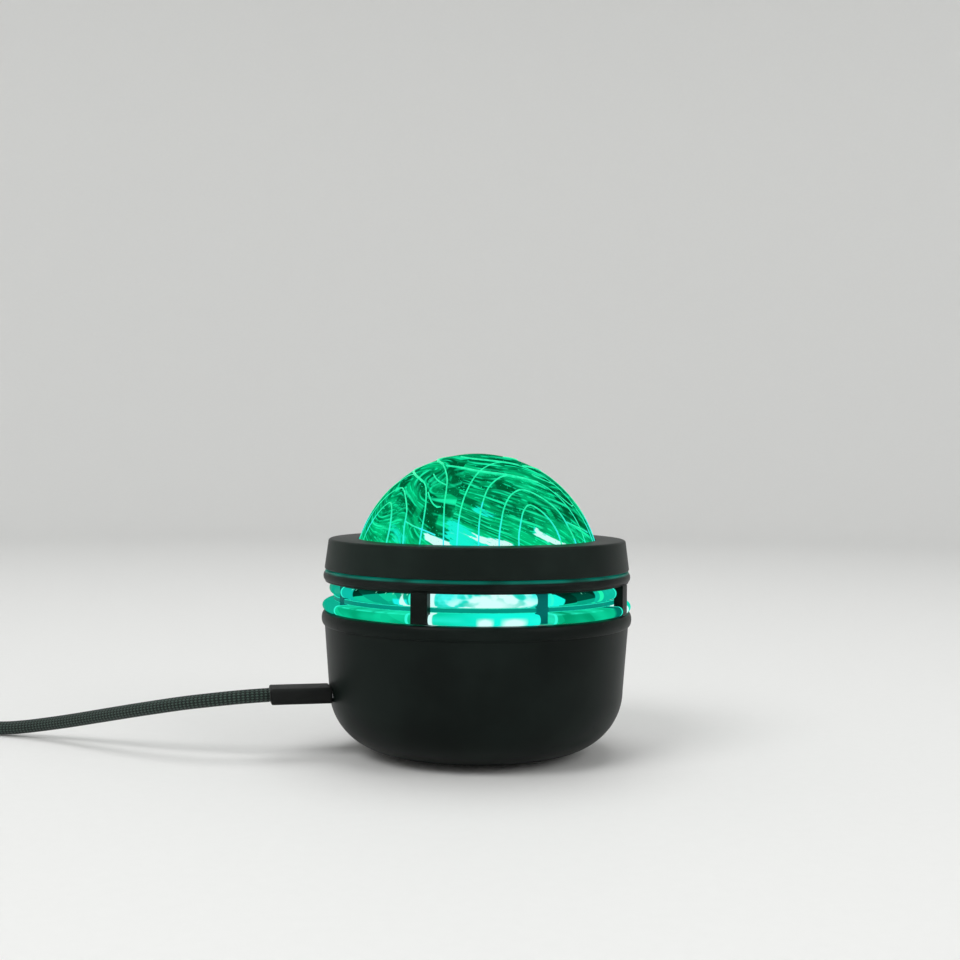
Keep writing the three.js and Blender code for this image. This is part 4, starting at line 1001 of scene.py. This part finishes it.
def base_cup():
    corner_centre = WAIST_RADIUS - CORNER
    inner_corner = CORNER - WALL
    ledge = FLOOR_LEVEL + COVER_THICKNESS + SEAT_GAP
    recess = COVER_RADIUS + SEAT_GAP
    opening = COVER_RADIUS - LEDGE_WIDTH
    inner_floor = ledge + WALL
    foot = math.degrees(math.asin((WAIST_LEVEL - inner_floor) / inner_corner))
    lip_middle = (WALL_TOP + LIP_TOP) / 2
    outline = [
        (opening, ledge),
        (recess, ledge),
        (recess, FLOOR_LEVEL),
        *arc(corner_centre, WAIST_LEVEL, CORNER, CORNER, -90, 0, steps=28),
        *arc(WALL_TOP_RADIUS, lip_middle, LIP_BULGE, LIP_HEIGHT / 2, -90, 90, steps=14),
        (LIP_INNER, LIP_TOP),
        (LIP_INNER, WALL_TOP),
        *arc(corner_centre, WAIST_LEVEL, inner_corner, inner_corner, 0, -foot, steps=10),
        (opening, inner_floor),
    ]
    shape = bmesh.new()
    revolve(shape, outline)
    made = finished("base_cup", shape, "base", "housing_black", ["lower_housing"])
    gaps = 2 * SEAT_GAP
    height = SOCKET_HEIGHT + gaps
    corner = height / 2 - 0.1
    wall_hole(made, SOCKET_WIDTH + gaps, height, corner, SOCKET_AZIMUTH, SOCKET_LEVEL)
    corner = BUTTON_CORNER + SEAT_GAP
    wall_hole(
        made, BUTTON_WIDTH + gaps, BUTTON_HEIGHT + gaps, corner, BUTTON_AZIMUTH, BUTTON_LEVEL
    )


# Window cage
BAND_BULGE = 0.5
BAND_BEAD_SHARE = 0.67
BAND_HEIGHT = 3.3
BAND_GAP = 0.8
LEG_WIDTH = 4.8
LEG_THICKNESS = 2.6
LEG_PROUD = 0.4
EDGE = 0.25
CAGE_HIGH = span("window_cage")[1]
BAND_TOP = CAGE_HIGH.z
BAND_BOTTOM = BAND_TOP - BAND_HEIGHT
BAND_OUTER = CAGE_HIGH.x - BAND_BULGE
BAND_INNER = DOME_RADIUS + BAND_GAP
LEG_OUTER = WALL_TOP_RADIUS + LEG_PROUD


def window_cage():
    middle = (BAND_TOP + BAND_BOTTOM) / 2
    half = BAND_HEIGHT * BAND_BEAD_SHARE / 2
    band = [
        (BAND_INNER, BAND_BOTTOM),
        (BAND_OUTER, BAND_BOTTOM),
        *arc(BAND_OUTER, middle, BAND_BULGE, half, -90, 90),
        (BAND_OUTER, BAND_TOP),
        (BAND_INNER, BAND_TOP),
    ]
    shape = bmesh.new()
    revolve(shape, softened(band, EDGE))
    inner = LEG_OUTER - LEG_THICKNESS
    leg = softened(rectangle(inner, LEG_OUTER, LIP_TOP + SEAT_GAP, BAND_BOTTOM + EDGE), EDGE)
    half = half_angle(LEG_WIDTH, LEG_OUTER)
    for azimuth in LEG_AZIMUTHS:
        revolve(shape, leg, azimuth - half, azimuth + half)
    finished("window_cage_smooth", shape, "base", "housing_black", ["window_cage"], "cage_black")


# Bezel
BEZEL_TAPER = 1
BEZEL_EDGE = 0.8
BEZEL_FOOT_EDGE = 0.4
BEZEL_LIP = 1.5
BEZEL_SKIN = 2
BEZEL_INNER_WALL = 1.5
DOME_OPENING_GAP = 0.5
BEZEL_LOW, BEZEL_HIGH = span("bezel_ring")


def bezel_opening(level):
    """The radius of the bezel's opening, which clears the dome, at a level."""
    return math.sqrt(DOME_RADIUS**2 - (level - DOME_LEVEL) ** 2) + DOME_OPENING_GAP


def bezel_ring():
    top = BEZEL_HIGH.z
    bottom = BEZEL_LOW.z
    foot = BEZEL_HIGH.x - BEZEL_FOOT_EDGE
    lip_bottom = top - BEZEL_LIP
    channel = top - BEZEL_SKIN
    cavity_outer = BEZEL_HIGH.x - BEZEL_TAPER - BEZEL_SKIN
    cavity_inner = BAND_INNER + BEZEL_INNER_WALL
    edge = BEZEL_HIGH.x - BEZEL_TAPER - BEZEL_EDGE
    outline = [
        (BAND_INNER, bottom),
        (cavity_inner, bottom),
        (cavity_inner, channel),
        (cavity_outer, channel),
        (cavity_outer, bottom),
        (foot, bottom),
        *arc(foot, bottom + BEZEL_FOOT_EDGE, BEZEL_FOOT_EDGE, BEZEL_FOOT_EDGE, -70, 0, steps=4),
        *arc(edge, top - BEZEL_EDGE, BEZEL_EDGE, BEZEL_EDGE, 0, 90, steps=8),
        (bezel_opening(top), top),
        (bezel_opening(lip_bottom), lip_bottom),
        (BAND_INNER, lip_bottom),
    ]
    shape = bmesh.new()
    revolve(shape, outline)
    finished("bezel_ring_smooth", shape, "base", "housing_black", ["bezel_ring"], "bezel_black_painted_lighter")


# Light ring and divider
RING_LOW, RING_HIGH = span("light_ring")
DIVIDER_LOW, DIVIDER_HIGH = span("divider_frame")
SLEEVE_WALL = 2
HOOP_HEIGHT = 1.4
HOOP_THICKNESS = 1.2
HOOP_SPLIT = 1.2
HOOP_SPLIT_AZIMUTH = 160
UPRIGHT_WIDTH = 3.3
UPPER_DRAWN = 2.0
HOOP_LEVEL = LIP_TOP + (BAND_BOTTOM - LIP_TOP) * HOOP_SHARE
HOOP_OUTER = DIVIDER_HIGH.x
HOOP_INNER = HOOP_OUTER - HOOP_THICKNESS
SLEEVE_OUTER = HOOP_INNER - SEAT_GAP
SLEEVE_INNER = SLEEVE_OUTER - SLEEVE_WALL
LOWER_REACH = RING_HIGH.x
UPPER_REACH = LOWER_REACH - UPPER_DRAWN


def light_ring():
    bottom = RING_LOW.z
    top = RING_HIGH.z
    notch_bottom = HOOP_LEVEL - HOOP_HEIGHT / 2 - SEAT_GAP
    notch_top = HOOP_LEVEL + HOOP_HEIGHT / 2 + SEAT_GAP
    shape = bmesh.new()
    revolve(shape, rectangle(SLEEVE_INNER, SLEEVE_OUTER, bottom, top))
    lobes = []
    for reach, low, high in (
        (LOWER_REACH, bottom, notch_bottom),
        (UPPER_REACH, notch_top, top),
    ):
        half = (high - low) / 2
        pillow = arc(reach - half, low + half, half, half, -90, 90, steps=16)
        lobes.append([(SLEEVE_OUTER, low), *pillow, (SLEEVE_OUTER, high)])
    leg_half = half_angle(LEG_WIDTH + 2 * SEAT_GAP, LEG_OUTER)
    upright_half = half_angle(UPRIGHT_WIDTH + 2 * SEAT_GAP, HOOP_OUTER)
    for leg, upright in zip(LEG_AZIMUTHS, UPRIGHT_AZIMUTHS):
        for lobe in lobes:
            revolve(shape, lobe, leg + leg_half, upright - upright_half)
            revolve(shape, lobe, upright + upright_half, leg + LEG_STEP - leg_half)
    finished("light_ring_lit", shape, "base", "clear_acrylic", ["light_ring"], "window_band")


def divider_frame():
    shape = bmesh.new()
    half = HOOP_HEIGHT / 2
    hoop = rectangle(HOOP_INNER, HOOP_OUTER, HOOP_LEVEL - half, HOOP_LEVEL + half)
    split = half_angle(HOOP_SPLIT, HOOP_OUTER)
    start = HOOP_SPLIT_AZIMUTH + split
    revolve(shape, softened(hoop, EDGE), start, HOOP_SPLIT_AZIMUTH + 360 - split)
    upright = rectangle(HOOP_INNER, HOOP_OUTER, DIVIDER_LOW.z, DIVIDER_HIGH.z)
    half = half_angle(UPRIGHT_WIDTH, HOOP_OUTER)
    for azimuth in UPRIGHT_AZIMUTHS:
        revolve(shape, softened(upright, EDGE), azimuth - half, azimuth + half)
    finished("divider_smooth", shape, "base", "teal_divider", ["divider_frame"])


# Dome, its arch lines and the wave lens
DOME_WALL = 1.5
QUARTERS = 4
ARCH_STEP = 2
ARCH_THICKNESS = 0.42
RIDGE_THICKNESS = 0.75
ARCH_DEPTH = 0.05
BEAD_SIDES = 8

# One quarter's nest of arches, as azimuths and elevations, then the short strokes left of it
ARCH_DRAWING = [
    [(19.2, 4), (19.6, 20), (21.5, 27), (24.3, 33), (27.5, 36.4), (30.9, 37.6), (36, 34.6),
     (39.5, 30.3), (41.6, 26), (42.7, 21), (44, 4)],
    [(9.8, 4), (10.3, 21), (12.3, 30), (14.6, 36), (18.6, 41.5), (23.7, 44.9), (30, 46.5),
     (37.2, 44.2), (43.8, 39.8), (48, 35.6), (50.2, 31.8), (51.8, 25.8), (53.6, 18.5), (54.5, 4)],
    [(0.5, 4), (0.8, 20), (1, 28), (2.6, 37.5), (6.6, 46.8), (12.7, 52.3), (20.2, 55.6),
     (29, 55.8), (38.4, 53.8), (48.4, 50.8), (55, 46.2), (59.8, 38.4), (62, 30), (62.8, 20),
     (63.2, 4)],
    [(-9, 4), (-9.1, 19), (-8.9, 33.9), (-6.4, 46.2), (-1.2, 56.4), (7, 63), (20.8, 67.6),
     (36, 68), (47, 66), (57.8, 61.4), (66.2, 54.2), (69.8, 46.4), (71.4, 38.5), (73, 30.5),
     (74.5, 19.5), (75.3, 4)],
    [(-32, 44.3), (-26.5, 38.8), (-22.4, 36.2), (-20.2, 36.4)],
    [(-38.9, 56.8), (-31.8, 53), (-26.8, 50.9), (-21.1, 49)],
    [(-38, 28.3), (-32, 26.2), (-25.8, 24.5), (-20, 22.6)],
]
# The longer ridges above the nest
RIDGE_DRAWING = [
    [(-33, 76), (-4, 72.6), (23.6, 69.8), (40, 67.6), (50, 65.3)],
    [(-34.5, 64.4), (-16.7, 62.6), (-2.3, 60.2), (10.8, 58.4), (22, 57), (38, 53.8), (48, 50.9)],
]


def bowl(outer, inner, outer_steps, inner_steps):
    """The closed outline of half a hollow ball, from its outer rim over the axis and back."""
    out = arc(0, DOME_LEVEL, outer, outer, 0, 90, outer_steps)
    back = arc(0, DOME_LEVEL, inner, inner, 90, 0, inner_steps)
    return [*out[:-1], (0, out[-1][1]), (0, back[0][1]), *back[1:]]


def clear_dome():
    shape = bmesh.new()
    revolve(shape, bowl(DOME_RADIUS, DOME_RADIUS - DOME_WALL, 48, 48))
    finished("clear_dome", shape, "dome", "clear_acrylic", ["dome_shell"], "dome_shell")


def on_dome(azimuth, elevation, radius):
    flat = radius * math.cos(math.radians(elevation))
    level = DOME_LEVEL + radius * math.sin(math.radians(elevation))
    return Vector((flat * math.cos(turn(azimuth)), flat * math.sin(turn(azimuth)), level))


def add(tree, kind, values=None, **settings):
    """A node with its settings, and values or links for its inputs. Returns its first output."""
    made = tree.nodes.new(kind)
    for name, setting in settings.items():
        setattr(made, name, setting)
    for key, value in (values or {}).items():
        if isinstance(value, bpy.types.NodeSocket):
            tree.links.new(value, made.inputs[key])
        else:
            made.inputs[key].default_value = value
    return made.outputs[0] if len(made.outputs) else None


def arch_tree():
    """Turns one nest of drawn lines into round beads and repeats it about the dome's axis."""
    tree = bpy.data.node_groups.new("arch_lines", "GeometryNodeTree")
    for label, way, kind in (
        ("Geometry", "INPUT", "Geometry"),
        ("Bead", "INPUT", "Float"),
        ("Quarters", "INPUT", "Int"),
        ("Quarter Turn", "INPUT", "Float"),
        ("Geometry", "OUTPUT", "Geometry"),
    ):
        tree.interface.new_socket(label, in_out=way, socket_type="NodeSocket" + kind)
    given = tree.nodes.new("NodeGroupInput").outputs
    lines = add(tree, "GeometryNodeMeshToCurve", {"Mesh": given["Geometry"]})
    values = {"Resolution": BEAD_SIDES, "Radius": given["Bead"]}
    section = add(tree, "GeometryNodeCurvePrimitiveCircle", values)
    values = {"Curve": lines, "Profile Curve": section, "Fill Caps": True}
    beads = add(tree, "GeometryNodeCurveToMesh", values)
    values = {"Count": given["Quarters"], "Offset": (0, 0, 0)}
    spots = add(tree, "GeometryNodeMeshLine", values)
    index = add(tree, "GeometryNodeInputIndex")
    values = {0: index, 1: given["Quarter Turn"]}
    spin = add(tree, "ShaderNodeMath", values, operation="MULTIPLY")
    spin = add(tree, "ShaderNodeCombineXYZ", {"Z": spin})
    values = {"Points": spots, "Instance": beads, "Rotation": spin}
    nests = add(tree, "GeometryNodeInstanceOnPoints", values)
    real = add(tree, "GeometryNodeRealizeInstances", {0: nests})
    shaded = add(tree, "GeometryNodeSetMaterial", {0: real, "Material": FINISHES["arch_line"]})
    add(tree, "NodeGroupOutput", {0: shaded})
    return tree


def arch_lines(name, drawing, thickness):
    """Runs the tree on a drawing and keeps its result as a plain piece."""
    shape = bmesh.new()
    for line in drawing:
        route, _ = smooth_route([Vector((*place, 0)) for place in line], ARCH_STEP)
        verts = [shape.verts.new(on_dome(*place.xy, DOME_RADIUS - ARCH_DEPTH)) for place in route]
        for ends in zip(verts, verts[1:]):
            shape.edges.new(ends)
    source = linked(name, meshed("arch_drawing", shape))
    modifier = source.modifiers.new("tree", "NODES")
    modifier.node_group = arch_tree()
    sizes = {
        "Bead": thickness / 2 * MM,
        "Quarters": QUARTERS,
        "Quarter Turn": math.radians(SECTOR),
    }
    for item in modifier.node_group.interface.items_tree:
        if item.name in sizes:
            modifier[item.identifier] = sizes[item.name]
    result = evaluated_mesh(source)
    mesh = source.data
    bpy.data.objects.remove(source)
    bpy.data.meshes.remove(mesh)
    settle(dressed(name, result, "arch_line"), "dome", ["dome_shell"])


LENS_WALL = 1.2
WAVE_HEIGHT = 0.35
WAVE_COUNT = 9
WAVE_TWIST = 5
WAVE_RIPPLES = 3


def wave_lens():
    """The inner lens, whose outer face has swirling waves."""
    shape = bmesh.new()
    revolve(shape, bowl(LENS_RADIUS, LENS_RADIUS - LENS_WALL, 64, 16))
    centre = Vector((0, 0, DOME_LEVEL))
    for vert in shape.verts:
        point = vert.co - centre
        reach = point.length
        if reach < LENS_RADIUS - LENS_WALL / 2:
            continue
        polar = math.acos(min(point.z / reach, 1))
        swirl = math.sin(WAVE_COUNT * math.atan2(point.y, point.x) + WAVE_TWIST * polar)
        ripple = math.cos(2 * WAVE_RIPPLES * polar)
        point *= 1 + WAVE_HEIGHT * swirl * ripple * math.sin(2 * polar) / reach
        vert.co = point + centre
    finished("wave_lens", shape, "dome", "clear_acrylic", ["wave_dome"], "wave_lens")


def mode_button():
    """The button at the back, with its flange inside the wall."""
    shape = bmesh.new()
    place = placed(BUTTON_AZIMUTH, BUTTON_LEVEL)
    inner = BUTTON_LOW.y
    wide = BUTTON_WIDTH + 2 * FLANGE_MARGIN
    high = BUTTON_HEIGHT + 2 * FLANGE_MARGIN
    corner = BUTTON_CORNER + FLANGE_MARGIN
    bar(shape, edged(inner, inner + FLANGE_THICKNESS, wide, high, corner, EDGE), place)
    start = inner + FLANGE_THICKNESS / 2
    size = (BUTTON_WIDTH, BUTTON_HEIGHT, BUTTON_CORNER, BUTTON_EDGE)
    bar(shape, edged(start, BUTTON_HIGH.y, *size), place)
    finished("mode_button_smooth", shape, "button", "cover_black", ["mode_button"])


# Plug in the socket
PLUG_LENGTH = 16.7
PLUG_WIDTH = 10
PLUG_THICKNESS = 4.6
PLUG_CORNER = 1.2
PLUG_EDGE = 0.5
PLUG_SEAT = 0.2
PLUG_RISE = (SOCKET_LEVEL + PLUG_THICKNESS / 2 - WAIST_LEVEL) / (WALL_TOP - WAIST_LEVEL)
PLUG_FACE = WAIST_RADIUS + WALL_TAPER * PLUG_RISE + SEAT_GAP
PLUG_END = PLUG_FACE + PLUG_LENGTH


def plug_body():
    """The overmould, whose inner face follows the cup's round wall."""
    shape = bmesh.new()
    place = placed(SOCKET_AZIMUTH, SOCKET_LEVEL)
    size = (PLUG_WIDTH, PLUG_THICKNESS, PLUG_CORNER, PLUG_EDGE)
    bar(shape, edged(PLUG_FACE, PLUG_END, *size), place)
    back = place.inverted()
    for vert in shape.verts:
        point = back @ vert.co
        if point.x < PLUG_FACE + PLUG_EDGE:
            drop = max(WAIST_LEVEL - SOCKET_LEVEL - point.z, 0)
            radius = PLUG_FACE - PLUG_SEAT - CORNER + math.sqrt(CORNER**2 - drop**2)
            point.x += math.sqrt(radius**2 - point.y**2) - PLUG_FACE
            vert.co = place @ point
    return finished("plug_overmould", shape, "base", "plug_black", ["usb_plug_body"])


# Cord: its points from the plug to the coil, then the coil, then the far plug's stretch
CORD_DIAMETER = 4
LEAD_POINTS = [
    (-64, -14.9, 17.8),
    (-69.7, -15.2, 17.3),
    (-76.6, -14.4, 16.4),
    (-83.3, -12.6, 15.3),
    (-90.6, -9.8, 13.8),
    (-97.8, -6.6, 12.2),
    (-105.7, -2.5, 10.3),
    (-113.3, 1.8, 8.4),
    (-121.4, 6.4, 6.4),
    (-129.5, 10.6, 4.6),
    (-137.5, 13.9, 3.1),
    (-145.3, 16.4, 2.2),
    (-158, 18.6, 2.1),
    (-174, 19.8, 2.1),
    (-190, 20, 2.1),
]
TAIL_POINTS = [
    (-219, 20, 6.55),
    (-225, 19.9, 6.2),
    (-232, 19.6, 5.3),
    (-239, 19.3, 4.4),
    (-246, 19.1, 4),
]
COIL_CENTRE = (-210, -10)
COIL_TURNS = 6
COIL_RADIUS = 30
COIL_PITCH = 4.6
COIL_STEPS = 48
COIL_REVERSAL = 0.25
TABLE_GAP = 0.1
CORD_SIDES = 20
CORD_STEP = 1.4


def coil_points():
    """The wound length, spiralling in on the table and out again a layer higher."""
    half = COIL_TURNS / 2
    low = CORD_DIAMETER / 2 + TABLE_GAP
    points = []
    for i in range(COIL_TURNS * COIL_STEPS + 1):
        turns = i / COIL_STEPS
        away = abs(turns - half)
        if away < COIL_REVERSAL:
            away = away * away / (2 * COIL_REVERSAL) + COIL_REVERSAL / 2
        radius = COIL_RADIUS - COIL_PITCH * (half - away)
        share = min(max((turns - half + COIL_REVERSAL) / (2 * COIL_REVERSAL), 0), 1)
        climb = share * share * (3 - 2 * share)
        angle = math.pi / 2 + 2 * math.pi * turns
        x = COIL_CENTRE[0] + radius * math.cos(angle)
        y = COIL_CENTRE[1] + radius * math.sin(angle)
        points.append(Vector((x, y, low + COIL_PITCH * climb)))
    lead_in = Vector((CORD_DIAMETER, 0, 0))
    return [points[0] + lead_in, *points, points[-1] - lead_in]


def cord():
    """The braided cord. Returns the piece, its route, its length and where it leaves the plug."""
    outward = Vector((math.cos(turn(SOCKET_AZIMUTH)), math.sin(turn(SOCKET_AZIMUTH)), 0))
    start = outward * (PLUG_END + SEAT_GAP) + Vector((0, 0, SOCKET_LEVEL))
    points = [start, *map(Vector, LEAD_POINTS), *coil_points(), *map(Vector, TAIL_POINTS)]
    route, length = smooth_route(points, CORD_STEP)
    shape = bmesh.new()
    maps = shape.loops.layers.uv.new("braid")
    side = outward.cross(Vector((0, 0, 1))).normalized()
    rings = []
    for i, point in enumerate(route):
        ahead = (route[min(i + 1, len(route) - 1)] - route[max(i - 1, 0)]).normalized()
        side = (side - ahead * side.dot(ahead)).normalized()
        up = side.cross(ahead)
        ring = []
        for k in range(CORD_SIDES):
            angle = 2 * math.pi * k / CORD_SIDES
            offset = side * math.cos(angle) + up * math.sin(angle)
            ring.append(shape.verts.new(point + offset * CORD_DIAMETER / 2))
        rings.append(ring)
    for face, i, k in bridged(shape, rings):
        corners = ((k, i), (k + 1, i), (k + 1, i + 1), (k, i + 1))
        for loop, (around, along) in zip(face.loops, corners):
            loop[maps].uv = (around / CORD_SIDES, along * CORD_STEP)
    capped(shape, rings)
    nodes = ["cord_lead", "cord_coil", "cord_tail"]
    return finished("power_cord", shape, "base", "braid_dark", nodes), route, length, start


base_cup()
window_cage()
bezel_ring()
light_ring()
divider_frame()
clear_dome()
arch_lines("arch_lines", ARCH_DRAWING, ARCH_THICKNESS)
arch_lines("ridge_lines", RIDGE_DRAWING, RIDGE_THICKNESS)
wave_lens()
mode_button()
plug = plug_body()
cord_piece, route, cord_length, cord_exit = cord()
cord_exit * MM
cord_length * MM
[point * MM for point in route]

# The nodes that stay as they are get the finish of their slot
for entry in frame["record"]["subparts"]:
    node = frame["nodes"].get(entry["node"])
    if node:
        node.data.materials.clear()
        node.data.materials.append(FINISHES[entry["material_slot"]])

# Floor and backdrop
BACKDROP_RADIUS = 1600
BACKDROP_BEND = 500
BACKDROP_HEIGHT = 1700
BACKDROP_SIDES = 96


def floor():
    """A pale floor that bends up all round into a backdrop."""
    flat = BACKDROP_RADIUS - BACKDROP_BEND
    bend = arc(flat, BACKDROP_BEND, BACKDROP_BEND, BACKDROP_BEND, -90, 0, steps=16)
    shape = bmesh.new()
    rings = []
    for radius, height in [(flat / 2, 0), *bend, (BACKDROP_RADIUS, BACKDROP_HEIGHT)]:
        angles = [2 * math.pi * i / BACKDROP_SIDES for i in range(BACKDROP_SIDES)]
        places = [(radius * math.cos(angle), radius * math.sin(angle), height) for angle in angles]
        rings.append([shape.verts.new(place) for place in places])
    shape.faces.new(rings[0])
    bridged(shape, rings)
    dressed("floor", meshed("floor", shape), "pale_floor")


# Lights: place and size in metres, and power in watts
LIGHT_AIM = Vector((0, 0, 0.04))
LIGHTS = {
    "key": ((-0.7, -0.8, 1.1), 0.8, 9),
    "fill": ((0.9, -0.6, 0.7), 0.8, 4),
    "top": ((0, 0.3, 1.3), 0.9, 5),
}
SKY_COLOR = (0.9, 0.92, 0.92, 1)
SKY_STRENGTH = 0.4

floor()
for name, (place, size, power) in LIGHTS.items():
    data = bpy.data.lights.new(name, "AREA")
    data.shape = "DISK"
    data.size = size
    data.energy = power
    light = linked(name, data)
    light.location = place
    light.rotation_euler = (LIGHT_AIM - light.location).to_track_quat("-Z", "Y").to_euler()
world = bpy.data.worlds.new("world")
world.use_nodes = True
sky = world.node_tree.nodes["Background"]
sky.inputs["Color"].default_value = SKY_COLOR
sky.inputs["Strength"].default_value = SKY_STRENGTH
bpy.context.scene.world = world
bpy.context.scene.view_settings.view_transform = "Standard"
